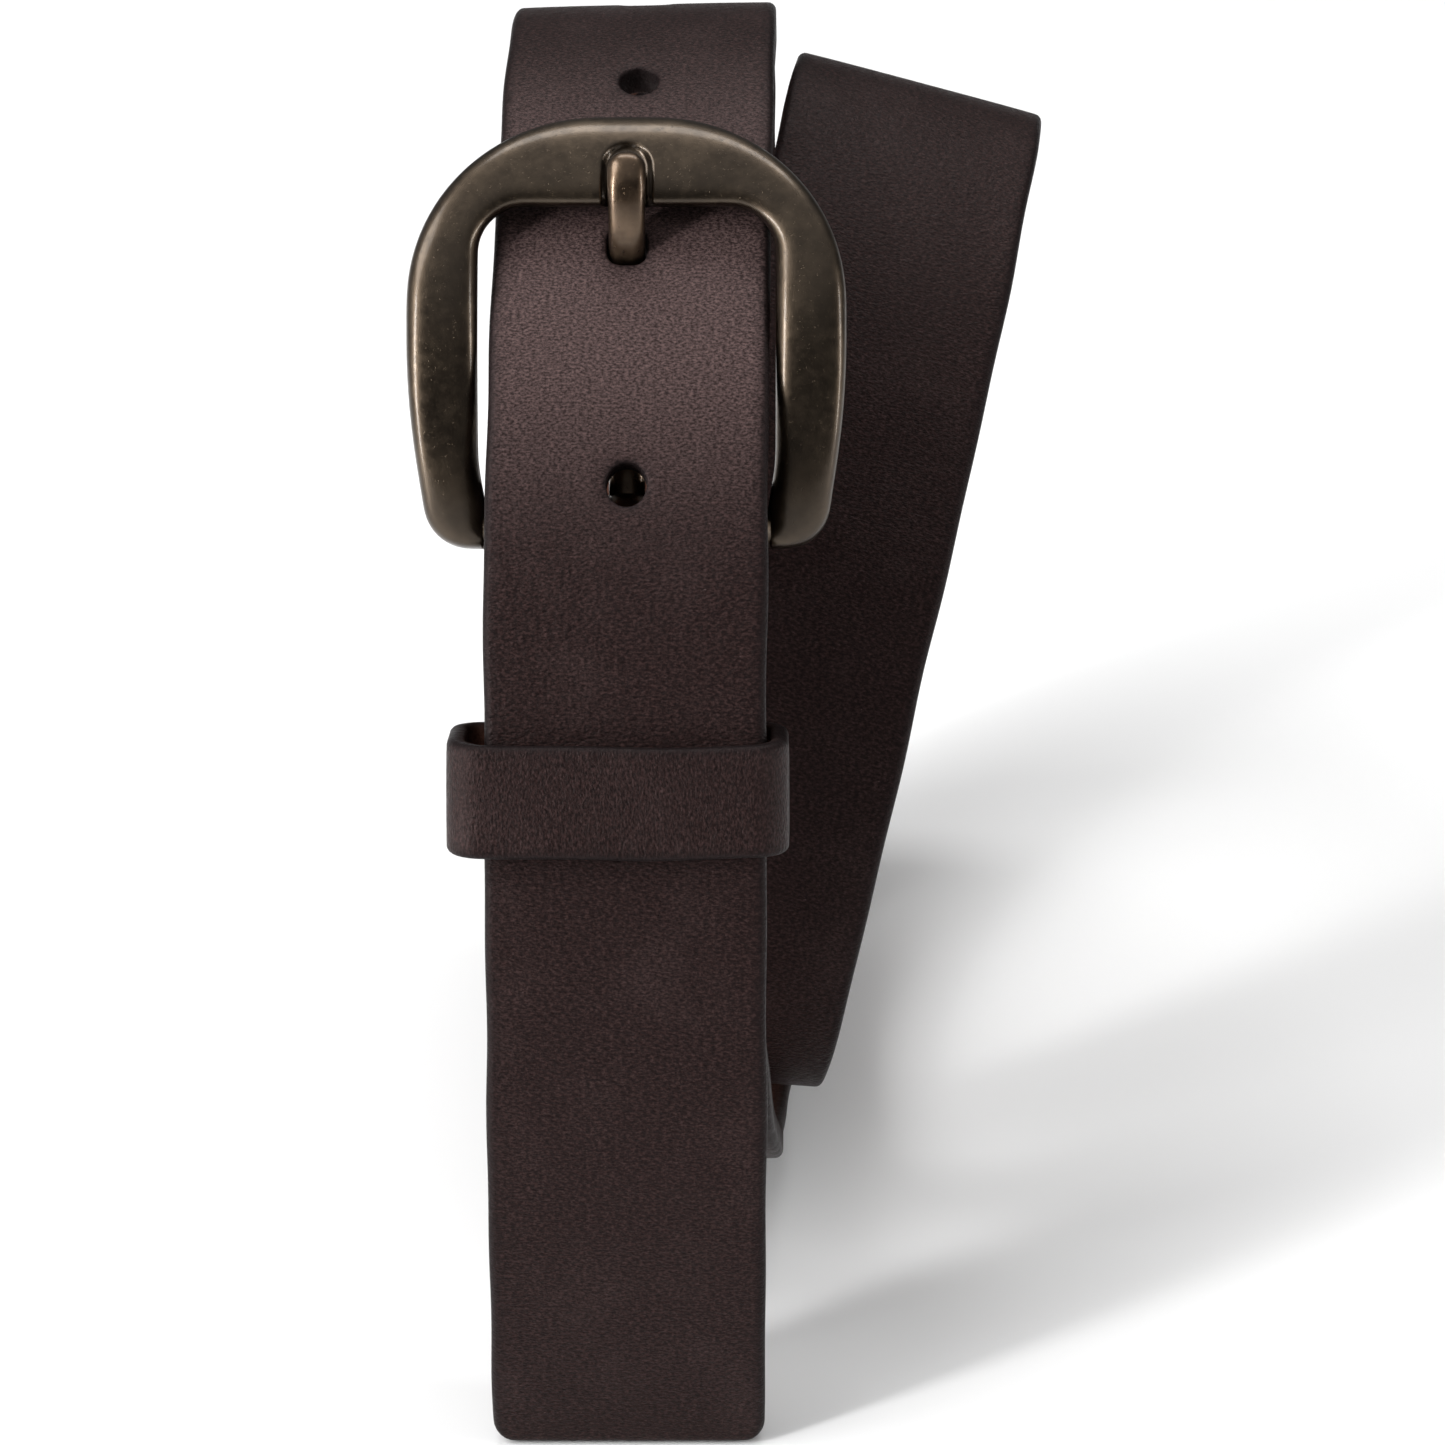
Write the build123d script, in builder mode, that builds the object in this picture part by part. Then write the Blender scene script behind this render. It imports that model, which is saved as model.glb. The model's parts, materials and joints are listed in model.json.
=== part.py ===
from build123d import *
from math import asin, cos, hypot, radians, sin, tan
import os

# A single-layer leather belt, buckled into a loop and coiled into two turns.
# Millimetres and degrees. +Z is up, +X runs across the strap to its right as seen from the front,
# and the origin lies on the patch of strap that the coil stands on.
#
# The coil leans back, so it is laid out in a leaning frame: x is the row's own X, "height" climbs
# along the front of the coil, and "out" points away from its front.

# ---------------------------------------------------------------- driving dimensions
LEAN = 30.0  # how far the coil leans back from upright
REST_FLAT = 0.2  # how much the strap is pressed flat where it stands

STRAP_WIDTH = 30.0
STRAP_THICKNESS = 3.5
STRAP_X = -10.3  # middle of the strap where it passes the buckle
TIP_CORNER = 2.6
TIP_HEIGHT = -79.0
CREST_HEIGHT = 4.5  # foremost line of the strap, between buckle and keeper
FREE_END_RADIUS = 165.0  # the free end curves back below the crest
SPLIT_HEIGHT = -31.5  # where the buckle end leaves the free end and bends under the coil

HOLE_PITCH = 25.4
HOLE_WIDTH = 4.3
HOLE_LENGTH = 4.8
LOWEST_HOLE = 20.5  # distance above the crest, along the strap
HOLES_BEYOND_TONGUE = [LOWEST_HOLE + HOLE_PITCH * step for step in (2, 3, 4)]

BAR_HEIGHT = 21.0
BAR_OUT = -11.3
BAR_RADIUS = 2.2
FOLD_CLEARANCE = 0.2
LAYER_GAP = 1.9  # between the free end and the buckle end, where the snap caps lie
TURN_BACK_GAP = 2.8  # between the buckle end and its turn-back
TURN_BACK_THICKNESS = 2.4
TURN_BACK_LENGTH = 52.0
TURN_BACK_SETTLE = 6.5  # below the bar, where the turn-back has come up to its gap

FRAME_HALF_WIDTH = 23.6
FRAME_HEEL_HALF_WIDTH = 22.0
FRAME_TOP = 65.7
FRAME_BOTTOM = 18.8
FRAME_TOP_RADIUS = 20.5
FRAME_HEEL_CORNER = 4.6
FRAME_THICKNESS = 4.4
FRAME_ARCH_RADIUS = 51.3  # arch of the frame, seen from the side
FRAME_FRONT_ROUND = 1.3
FRAME_BACK_ROUND = 0.6
CROSSBAR_HEIGHT = 60.9
CROSSBAR_OUT = -11.4
OPENING_HALF_WIDTH = 16.0
OPENING_TOP = 56.2
OPENING_CORNER = 3.0
SEAT_WIDTH = 4.9
SEAT_CORNER = 2.35
SEAT_DEPTH = 1.0
SEAT_TOP = 62.2

TONGUE_WIDTH = 3.95
TONGUE_THICKNESS = 2.6
TONGUE_TOP = 61.3
TONGUE_TIP_ROUND = 1.5
TONGUE_EDGE_ROUND = 0.5
TONGUE_CURL_WALL = 1.6
RUNNING_CLEARANCE = 0.08
TONGUE_SLOT_WIDTH = 5.4
TONGUE_SLOT_FOOT = 15.2
TONGUE_HOLE_THICKNESS = 4.1  # the tongue hole, stretched round the slanting tongue
TONGUE_HOLE_CORNER = 1.0

KEEPER_X = -11.1
KEEPER_HEIGHT = -7.4
KEEPER_LENGTH = 12.0
KEEPER_WIDTH = 36.4
KEEPER_WALL = 2.0
KEEPER_CORNER = 3.0
KEEPER_CLEARANCE = 0.4
STAPLE_WIDTH = 8.0
STAPLE_WIRE = 0.5
STAPLE_LEG = 1.4

SNAP_DISTANCES = (11.0, 44.0)  # below the heel bar, along the strap
SNAP_SEATING = 0.07  # room behind a flat disc on the hollow side of the bent strap
CAP_RADIUS = 4.6
CAP_THICKNESS = 1.3
SHANK_RADIUS = 1.5
SHANK_HOLE_RADIUS = 1.55
SHANK_END = 0.6  # how far the shank reaches into the socket
SOCKET_RADIUS = 4.2
SOCKET_THICKNESS = 1.9
KNOB_RADIUS = 1.8
KNOB_LENGTH = 0.8
KNOB_CLEARANCE = 0.4
STUD_RADIUS = 4.0
STUD_THICKNESS = 0.7
POST_RADIUS = 1.2
POST_HEAD_RADIUS = 3.6
POST_HEAD_THICKNESS = 0.7

# Seams between lengths of strap that follow the buckle, the tongue and the lifted tip
SEAM_ABOVE_BUCKLE = 47.5  # distance from the heel bar
SEAM_AT_CROSSBAR = 33.6
SEAM_OVER_TONGUE = 15.5
SEAM_GAP = 0.05
TIP_START = 25.0  # distance below the crest

# ---------------------------------------------------------------- the leaning frame
LEAF = STRAP_THICKNESS / 2
BACKMOST = (12.0, -124.0)  # height and out of the outer turn's back
UNDERMOST = (-48.85, -52.0)  # height and out of the outer turn's underside
UP = (cos(radians(LEAN)), sin(radians(LEAN)))  # how height and out count towards the row's Z


def lowest_point():
    """Height and out of the strap where the quarter ellipse under the coil's back is lowest."""
    half_height = BACKMOST[0] - UNDERMOST[0]
    half_depth = UNDERMOST[1] - BACKMOST[1]
    drop = hypot(half_height * UP[0], half_depth * UP[1])
    height = BACKMOST[0] - half_height**2 * UP[0] / drop - LEAF * UP[0]
    out = UNDERMOST[1] - half_depth**2 * UP[1] / drop - LEAF * UP[1]
    return height, out


foot_height, foot_out = lowest_point()
STANCE = Vector(
    0,
    foot_out * UP[0] - foot_height * UP[1],
    -foot_height * UP[0] - foot_out * UP[1] - REST_FLAT,
)
LEANING = Plane(origin=STANCE, x_dir=(1, 0, 0), z_dir=(0, -UP[0], UP[1]))


def place(x, height, out):
    """A place given in the leaning frame."""
    return LEANING.from_local_coords((x, height, out))


def direction(x, height, out):
    """A unit direction given in the leaning frame."""
    return (place(x, height, out) - LEANING.origin).normalized()


# Side views are drawn as (out, height) and front views as (x, height), from the middle of the strap.
SIDE = Plane(origin=place(STRAP_X, 0, 0), x_dir=direction(0, 0, 1), z_dir=(-1, 0, 0))
FRONT = Plane(origin=place(STRAP_X, 0, 0), x_dir=(1, 0, 0), z_dir=direction(0, 0, 1))


# ---------------------------------------------------------------- the strap's middle line
def curved_back(radius, height):
    """Place and way of a line that leaves the crest downwards and curves back about the common centre."""
    angle = asin((CREST_HEIGHT - height) / radius)
    return (STRAP_X, height, radius * cos(angle) - FREE_END_RADIUS), (0, -cos(angle), -sin(angle))


FREE_END_MIDDLE = FREE_END_RADIUS - LEAF
BUCKLE_END_MIDDLE = FREE_END_RADIUS - STRAP_THICKNESS - LAYER_GAP - LEAF
TURN_BACK_MIDDLE = BUCKLE_END_MIDDLE - LEAF - TURN_BACK_GAP - TURN_BACK_THICKNESS / 2

split_place, split_way = curved_back(BUCKLE_END_MIDDLE, SPLIT_HEIGHT)
tip_place, tip_way = curved_back(FREE_END_MIDDLE, TIP_HEIGHT)

# Where the strap turns: its place, the way it runs, and its skew, which is how far its width is turned
# clockwise as seen from the front.
TURNS = {
    "split": (split_place, split_way, 0.0),
    "outer bottom": ((-7.9, *UNDERMOST), (0, 0, -1), 0.0),
    "outer back": ((9.0, *BACKMOST), (0.27, 1, 0), 14.0),
    "outer top": ((23.3, 74.75, -63.0), (0, 0, 1), 15.0),
    "inner front": ((9.6, 15.0, -33.0), (-0.229, -1, 0), 12.9),
    "inner bottom": ((-3.0, -40.25, -56.0), (0, 0, -1), 5.0),
    "inner back": ((-6.5, 20.0, -102.0), (-0.04, 1, 0), -2.7),
    "inner top": ((-8.8, 81.95, -52.0), (0, 0, 1), -1.4),
    "crest": ((STRAP_X, CREST_HEIGHT, -LEAF), (0, -1, 0), 0.0),
    "tip": (tip_place, tip_way, 0.0),
}


class Stretch:
    """A stretch of strap from one turn to the next."""

    def __init__(self, start, end, level_share=0.0):
        start_place, start_way, self.start_skew = TURNS[start]
        end_place, end_way, self.end_skew = TURNS[end]
        self.level_share = level_share
        first, last = place(*start_place), place(*end_place)
        leave, arrive = direction(*start_way), direction(*end_way)
        reach = last - first
        turn = radians(leave.get_angle(arrive))
        round_handle = 4 / 3 * tan(turn / 4) / sin(turn)  # makes the stretch a part of an ellipse
        self.line = Bezier(
            first,
            first + leave * (reach.dot(leave) * round_handle),
            last - arrive * (reach.dot(arrive) * round_handle),
            last,
        )

    def section(self, share):
        """The plane across the strap: x along its width, z the way it runs."""
        eased = max(0.0, (share - self.level_share) / (1 - self.level_share))
        eased = eased * eased * (3 - 2 * eased)
        skew = radians(self.start_skew + (self.end_skew - self.start_skew) * eased)
        way = self.line.tangent_at(share)
        across = direction(cos(skew), -sin(skew), 0)
        across = across - way * across.dot(way)
        return Plane(origin=self.line.position_at(share), x_dir=across, z_dir=way)

    def sections(self, start=0.0, end=1.0, steps=6):
        """Planes from one share of the stretch to another."""
        return [self.section(start + (end - start) * step / steps) for step in range(steps + 1)]

    def before_end(self, distance):
        """The share of the stretch that lies this far before its end."""
        return 1 - distance / self.line.length


to_bottom = Stretch("split", "outer bottom")
up_the_back = Stretch("outer bottom", "outer back", level_share=0.55)
over_the_top = Stretch("outer back", "outer top")
down_inside = Stretch("outer top", "inner front")
inner_bottom = Stretch("inner front", "inner bottom")
inner_back = Stretch("inner bottom", "inner back")
inner_top = Stretch("inner back", "inner top")
through_buckle = Stretch("inner top", "crest")
free_end = Stretch("crest", "tip")


def ribbon(planes):
    """A solid length of strap through these planes."""
    with BuildPart() as length:
        for plane in planes:
            with BuildSketch(plane):
                Rectangle(STRAP_WIDTH, STRAP_THICKNESS)
        loft()
    return length.part


def hole_plane(distance):
    """The plane of a strap hole this far above the crest: z through the strap."""
    if distance < through_buckle.line.length:
        section = through_buckle.section(through_buckle.before_end(distance))
    else:
        section = inner_top.section(inner_top.before_end(distance - through_buckle.line.length))
    return Plane(origin=section.origin, x_dir=section.x_dir, z_dir=section.y_dir)


def punched(plane):
    """Cut one oval hole through the strap."""
    with BuildSketch(plane) as oval:
        Ellipse(HOLE_WIDTH / 2, HOLE_LENGTH / 2)
    extrude(oval.sketch, amount=STRAP_THICKNESS, both=True, mode=Mode.SUBTRACT)


def ring_round_bar(inner, outer):
    """Keep only what lies between these distances from the heel bar."""
    with BuildSketch(SIDE) as ring:
        with Locations((BAR_OUT, BAR_HEIGHT)):
            Circle(outer)
            Circle(inner, mode=Mode.SUBTRACT)
    extrude(ring.sketch, amount=STRAP_WIDTH, both=True, mode=Mode.INTERSECT)


# ---------------------------------------------------------------- strap: the two turns of the coil
with BuildPart() as strap_outer_lower:
    add(ribbon(to_bottom.sections(steps=5) + up_the_back.sections(steps=10)[1:]))
    split(bisect_by=Plane.XY, keep=Keep.TOP)

with BuildPart() as strap_outer_upper:
    add(ribbon(over_the_top.sections() + down_inside.sections()[1:]))

with BuildPart() as strap_inner_lower:
    add(ribbon(inner_bottom.sections() + inner_back.sections()[1:]))

with BuildPart() as strap_inner_upper:
    add(ribbon(inner_top.sections() + through_buckle.sections(steps=9)[1:]))
    with BuildSketch(SIDE):
        with Locations((BAR_OUT, BAR_HEIGHT)):
            Circle(SEAM_ABOVE_BUCKLE + SEAM_GAP)
    extrude(amount=STRAP_WIDTH, both=True, mode=Mode.SUBTRACT)
    for distance in HOLES_BEYOND_TONGUE:
        punched(hole_plane(distance))

# ---------------------------------------------------------------- strap: through the buckle to the tip
with BuildPart() as strap_under_crossbar:
    add(ribbon(through_buckle.sections(steps=9)))
    ring_round_bar(SEAM_AT_CROSSBAR + SEAM_GAP, SEAM_ABOVE_BUCKLE)

# The tongue runs up behind the strap, slants forward through its hole and ends on the crossbar.
TONGUE_LINE = (
    (BAR_OUT - 0.3, BAR_HEIGHT + 2.4),
    (-11.6, 33.0),
    (-13.5, 42.6),
    (-13.3, 46.6),
    (-8.0, 54.2),
    (-6.8, 57.6),
    (-7.6, TONGUE_TOP),
)
TONGUE_CROSSING = (-10.8, 50.4)
TONGUE_SLANT = (0.6, 0.8)  # the way the tongue runs there, as (out, height)
crossing_plane = Plane(
    origin=place(STRAP_X, TONGUE_CROSSING[1], TONGUE_CROSSING[0]),
    x_dir=(1, 0, 0),
    z_dir=direction(0, TONGUE_SLANT[1], TONGUE_SLANT[0]),
)

with BuildPart() as strap_over_tongue:
    add(ribbon(through_buckle.sections(end=through_buckle.before_end(LOWEST_HOLE), steps=7)))
    ring_round_bar(SEAM_OVER_TONGUE + SEAM_GAP, SEAM_AT_CROSSBAR)
    with BuildSketch(crossing_plane):
        RectangleRounded(HOLE_WIDTH, TONGUE_HOLE_THICKNESS, TONGUE_HOLE_CORNER)
    extrude(amount=2 * STRAP_THICKNESS, both=True, mode=Mode.SUBTRACT)

with BuildPart() as strap_over_bar:
    end = TIP_START / free_end.line.length
    add(ribbon(through_buckle.sections(steps=9) + free_end.sections(0.0, end, steps=3)[1:]))
    with BuildSketch(SIDE):
        with Locations((BAR_OUT, BAR_HEIGHT)):
            Rectangle(4 * FRAME_TOP, 2 * FRAME_TOP, align=(Align.CENTER, Align.MIN))
            Circle(SEAM_OVER_TONGUE, mode=Mode.SUBTRACT)
    extrude(amount=STRAP_WIDTH, both=True, mode=Mode.SUBTRACT)
    punched(hole_plane(LOWEST_HOLE))

with BuildPart() as strap_tip:
    add(ribbon(free_end.sections(TIP_START / free_end.line.length, 1.0, steps=5)))
    end_face = strap_tip.faces().sort_by(Axis(place(*tip_place), direction(*tip_way)))[-1]
    fillet(end_face.edges().filter_by(lambda edge: edge.length < STRAP_THICKNESS * 1.1), TIP_CORNER)

# ---------------------------------------------------------------- strap: the fold round the heel bar
FOLD_INNER = BAR_RADIUS + FOLD_CLEARANCE
FRONT_FACE = BAR_OUT + FOLD_INNER + STRAP_THICKNESS
BACK_FACE = BAR_OUT - FOLD_INNER - TURN_BACK_THICKNESS
CREST_OUT = BUCKLE_END_MIDDLE - FREE_END_RADIUS


def arc_down(radius, height):
    """The end of an arc that leaves the crest at this radius, as (out, height)."""
    _, arc_height, arc_out = curved_back(radius, height)[0]
    return arc_out, arc_height


def cut_tongue_slot():
    """Cut the slot that lets the tongue's curl through the fold."""
    with BuildSketch(FRONT) as slot:
        with Locations((0, TONGUE_SLOT_FOOT)):
            Rectangle(TONGUE_SLOT_WIDTH, BAR_HEIGHT, align=(Align.CENTER, Align.MIN))
    extrude(slot.sketch, amount=2 * -BAR_OUT, both=True, mode=Mode.SUBTRACT)


split_middle = arc_down(BUCKLE_END_MIDDLE, SPLIT_HEIGHT)
with BuildPart() as strap_buckle_end:
    with BuildSketch(SIDE):
        with BuildLine():
            RadiusArc((CREST_OUT, CREST_HEIGHT), split_middle, BUCKLE_END_MIDDLE)
        trace(line_width=STRAP_THICKNESS)
        with BuildLine():
            Line((CREST_OUT, CREST_HEIGHT), (CREST_OUT, BAR_HEIGHT))
        trace(line_width=STRAP_THICKNESS)
        with BuildLine():
            Line((FRONT_FACE - STRAP_THICKNESS, BAR_HEIGHT), (FRONT_FACE, BAR_HEIGHT))
            ThreePointArc(
                (FRONT_FACE, BAR_HEIGHT),
                ((FRONT_FACE + BACK_FACE) / 2, BAR_HEIGHT + (FRONT_FACE - BACK_FACE) / 2),
                (BACK_FACE, BAR_HEIGHT),
            )
            Line((BACK_FACE, BAR_HEIGHT), (BAR_OUT - FOLD_INNER, BAR_HEIGHT))
            ThreePointArc(
                (BAR_OUT - FOLD_INNER, BAR_HEIGHT),
                (BAR_OUT, BAR_HEIGHT + FOLD_INNER),
                (BAR_OUT + FOLD_INNER, BAR_HEIGHT),
            )
        make_face()
    extrude(amount=STRAP_WIDTH / 2, both=True)
    cut_tongue_slot()


def snap_plane(distance):
    """The plane of a snap, on the buckle end's middle: z out of the front."""
    beyond_crest = distance - (BAR_HEIGHT - CREST_HEIGHT)
    if beyond_crest < 0:
        return Plane(
            origin=place(STRAP_X, BAR_HEIGHT - distance, CREST_OUT), x_dir=(1, 0, 0), z_dir=direction(0, 0, 1)
        )
    height = CREST_HEIGHT - BUCKLE_END_MIDDLE * sin(beyond_crest / BUCKLE_END_MIDDLE)
    middle, way = curved_back(BUCKLE_END_MIDDLE, height)
    return Plane(origin=place(*middle), x_dir=(1, 0, 0), z_dir=direction(0, way[2], -way[1]))


snap_planes = [snap_plane(distance) for distance in SNAP_DISTANCES]

TURN_BACK_OUT = TURN_BACK_MIDDLE - FREE_END_RADIUS
turn_back_end = BAR_HEIGHT - TURN_BACK_LENGTH
with BuildPart() as strap_turn_back:
    with BuildSketch(SIDE):
        with BuildLine():
            Spline(
                (BAR_OUT - FOLD_INNER - TURN_BACK_THICKNESS / 2, BAR_HEIGHT),
                (TURN_BACK_OUT, BAR_HEIGHT - TURN_BACK_SETTLE),
                tangents=((0, -1), (0, -1)),
            )
        trace(line_width=TURN_BACK_THICKNESS)
        with BuildLine():
            Line((TURN_BACK_OUT, BAR_HEIGHT - TURN_BACK_SETTLE), (TURN_BACK_OUT, CREST_HEIGHT))
        trace(line_width=TURN_BACK_THICKNESS)
        with BuildLine():
            RadiusArc(
                (TURN_BACK_OUT, CREST_HEIGHT),
                arc_down(TURN_BACK_MIDDLE, turn_back_end),
                TURN_BACK_MIDDLE,
            )
        trace(line_width=TURN_BACK_THICKNESS)
    extrude(amount=STRAP_WIDTH / 2, both=True)
    cut_tongue_slot()

# ---------------------------------------------------------------- buckle frame with its heel bar
chord = Vector(CROSSBAR_OUT - BAR_OUT, CROSSBAR_HEIGHT - BAR_HEIGHT)
chord_middle = Vector(BAR_OUT, BAR_HEIGHT) + chord * 0.5
arch_rise = (FRAME_ARCH_RADIUS**2 - (chord.length / 2) ** 2) ** 0.5
ARCH_CENTRE = chord_middle - Vector(chord.Y, -chord.X).normalized() * arch_rise


def arch_out(height, offset=0.0):
    """Out of the frame's arch at this height, this far outside its middle."""
    radius = FRAME_ARCH_RADIUS + offset
    return ARCH_CENTRE.X + (radius**2 - (height - ARCH_CENTRE.Y) ** 2) ** 0.5


def arch_plane(height, offset=0.0):
    """A plane on the arch: z out of the frame's face."""
    slope = asin((height - ARCH_CENTRE.Y) / (FRAME_ARCH_RADIUS + offset))
    return Plane(
        origin=place(STRAP_X, height, arch_out(height, offset)),
        x_dir=(1, 0, 0),
        z_dir=direction(0, sin(slope), cos(slope)),
    )


side_start = FRAME_TOP - FRAME_TOP_RADIUS
side_middle = (side_start + FRAME_BOTTOM) / 2
SIDE_BULGE = 0.35
with BuildPart() as buckle_frame:
    with BuildSketch(FRONT) as outline:
        with BuildLine():
            Line((0, FRAME_TOP), (FRAME_HALF_WIDTH - FRAME_TOP_RADIUS, FRAME_TOP))
            CenterArc((FRAME_HALF_WIDTH - FRAME_TOP_RADIUS, side_start), FRAME_TOP_RADIUS, 0, 90)
            ThreePointArc(
                (FRAME_HALF_WIDTH, side_start),
                (FRAME_HALF_WIDTH - SIDE_BULGE, side_middle),
                (FRAME_HEEL_HALF_WIDTH, FRAME_BOTTOM),
            )
            Line((FRAME_HEEL_HALF_WIDTH, FRAME_BOTTOM), (0, FRAME_BOTTOM))
            mirror(about=Plane.YZ)
        make_face()
        fillet(outline.vertices().group_by(Axis.Y)[0], FRAME_HEEL_CORNER)
        with Locations((0, OPENING_TOP)):
            Rectangle(
                2 * OPENING_HALF_WIDTH,
                2 * FRAME_TOP,
                align=(Align.CENTER, Align.MAX),
                mode=Mode.SUBTRACT,
            )
        fillet(outline.vertices().filter_by_position(Axis.Y, OPENING_TOP, OPENING_TOP), OPENING_CORNER)
    extrude(amount=-2 * BAR_OUT, both=True)
    with BuildSketch(SIDE):
        with Locations((ARCH_CENTRE.X, ARCH_CENTRE.Y)):
            Circle(FRAME_ARCH_RADIUS + FRAME_THICKNESS / 2)
            Circle(FRAME_ARCH_RADIUS - FRAME_THICKNESS / 2, mode=Mode.SUBTRACT)
    extrude(amount=2 * FRAME_HALF_WIDTH, both=True, mode=Mode.INTERSECT)
    by_depth = buckle_frame.faces().sort_by(SortBy.AREA)[-2:].sort_by(Axis(FRONT.origin, FRONT.z_dir))
    fillet(by_depth[1].edges(), FRAME_FRONT_ROUND)
    by_depth = buckle_frame.faces().sort_by(SortBy.AREA)[-2:].sort_by(Axis(FRONT.origin, FRONT.z_dir))
    fillet(by_depth[0].edges(), FRAME_BACK_ROUND)
    with BuildSketch(SIDE):
        with Locations((BAR_OUT, BAR_HEIGHT)):
            Circle(BAR_RADIUS)
    extrude(amount=OPENING_HALF_WIDTH + FRAME_THICKNESS / 2, both=True)
    seat_length = SEAT_TOP - OPENING_TOP
    seat_plane = arch_plane(OPENING_TOP + seat_length / 2, FRAME_THICKNESS / 2 - SEAT_DEPTH)
    with BuildSketch(seat_plane):
        with Locations((0, -seat_length / 2)):
            RectangleRounded(SEAT_WIDTH, 2 * seat_length, SEAT_CORNER)
    extrude(amount=FRAME_THICKNESS, mode=Mode.SUBTRACT)

# ---------------------------------------------------------------- tongue
with BuildPart() as tongue:
    with BuildSketch(SIDE):
        with BuildLine():
            Spline(*TONGUE_LINE)
        trace(line_width=TONGUE_THICKNESS)
    extrude(amount=TONGUE_WIDTH / 2, both=True)
    end_face = tongue.faces().sort_by(Axis(FRONT.origin, FRONT.y_dir))[-1]
    fillet(end_face.edges().filter_by(Axis.X, reverse=True), TONGUE_TIP_ROUND)
    sides = tongue.faces().group_by(Axis.X)
    fillet(sides[0].edges() + sides[-1].edges(), TONGUE_EDGE_ROUND)
    with BuildSketch(SIDE):
        with Locations((BAR_OUT, BAR_HEIGHT)):
            Circle(BAR_RADIUS + RUNNING_CLEARANCE + TONGUE_CURL_WALL)
    extrude(amount=TONGUE_WIDTH / 2, both=True)
    with BuildSketch(SIDE):
        with Locations((BAR_OUT, BAR_HEIGHT)):
            Circle(BAR_RADIUS + RUNNING_CLEARANCE)
    extrude(amount=TONGUE_WIDTH, both=True, mode=Mode.SUBTRACT)

# ---------------------------------------------------------------- keeper and its staple
keeper_angle = asin((CREST_HEIGHT - KEEPER_HEIGHT) / FREE_END_RADIUS)
KEEPER_FRONT = FREE_END_RADIUS + KEEPER_CLEARANCE + KEEPER_WALL
KEEPER_BACK = BUCKLE_END_MIDDLE - LEAF - KEEPER_CLEARANCE - KEEPER_WALL


def keeper_plane(radius):
    """A plane square to the strap in the middle of the keeper, at this distance from the common centre."""
    origin = place(
        KEEPER_X,
        CREST_HEIGHT - radius * sin(keeper_angle),
        radius * cos(keeper_angle) - FREE_END_RADIUS,
    )
    along = direction(0, cos(keeper_angle), sin(keeper_angle))
    return Plane(origin=origin, x_dir=(1, 0, 0), z_dir=along)


with BuildPart() as keeper_staple:
    with BuildSketch(keeper_plane(KEEPER_BACK)):
        Rectangle(STAPLE_WIDTH, STAPLE_LEG, align=(Align.CENTER, Align.MAX))
        with Locations((0, -STAPLE_WIRE)):
            Rectangle(
                STAPLE_WIDTH - 2 * STAPLE_WIRE,
                STAPLE_LEG,
                align=(Align.CENTER, Align.MAX),
                mode=Mode.SUBTRACT,
            )
    extrude(amount=STAPLE_WIRE / 2, both=True)

with BuildPart() as keeper:
    depth = KEEPER_FRONT - KEEPER_BACK
    with BuildSketch(keeper_plane((KEEPER_FRONT + KEEPER_BACK) / 2)):
        RectangleRounded(KEEPER_WIDTH, depth, KEEPER_CORNER)
        RectangleRounded(
            KEEPER_WIDTH - 2 * KEEPER_WALL,
            depth - 2 * KEEPER_WALL,
            KEEPER_CORNER - KEEPER_WALL,
            mode=Mode.SUBTRACT,
        )
    extrude(amount=KEEPER_LENGTH / 2, both=True)
    add(keeper_staple.part, mode=Mode.SUBTRACT)


# ---------------------------------------------------------------- snap fasteners
def disc(plane, height, radius, length):
    """A disc in the part being built, standing on the plane at this height."""
    with BuildSketch(plane.offset(height)) as round_face:
        Circle(radius)
    extrude(round_face.sketch, amount=length)


def bored(plane, height, radius, length):
    """A round hole in the part being built, from this height on."""
    with BuildSketch(plane.offset(height)) as round_face:
        Circle(radius)
    extrude(round_face.sketch, amount=length, mode=Mode.SUBTRACT)


STUD_FACE = -LEAF - TURN_BACK_GAP  # the turn-back's front, below the buckle end's middle
POST_FACE = STUD_FACE - TURN_BACK_THICKNESS - SNAP_SEATING
SOCKET_TOP = -LEAF - SNAP_SEATING
SOCKET_FACE = SOCKET_TOP - SOCKET_THICKNESS

with BuildPart() as snap_caps:
    for plane in snap_planes:
        disc(plane, LEAF, CAP_RADIUS, CAP_THICKNESS)
        disc(plane, -LEAF - SHANK_END, SHANK_RADIUS, STRAP_THICKNESS + SHANK_END)

with BuildPart() as snap_sockets:
    for plane in snap_planes:
        disc(plane, SOCKET_FACE, SOCKET_RADIUS, SOCKET_THICKNESS)
        bored(plane, -LEAF - SHANK_END, SHANK_RADIUS, SHANK_END)
        bored(plane, SOCKET_FACE, KNOB_RADIUS + KNOB_CLEARANCE, KNOB_LENGTH + KNOB_CLEARANCE)

with BuildPart() as snap_studs:
    for plane in snap_planes:
        disc(plane, STUD_FACE, STUD_RADIUS, STUD_THICKNESS)
        disc(plane, STUD_FACE, KNOB_RADIUS, SOCKET_FACE - STUD_FACE + KNOB_LENGTH)
        bored(plane, STUD_FACE, POST_RADIUS, STUD_THICKNESS)

with BuildPart() as snap_posts:
    for plane in snap_planes:
        disc(plane, POST_FACE - POST_HEAD_THICKNESS, POST_HEAD_RADIUS, POST_HEAD_THICKNESS)
        disc(plane, POST_FACE, POST_RADIUS, STUD_FACE + STUD_THICKNESS - POST_FACE)

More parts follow.
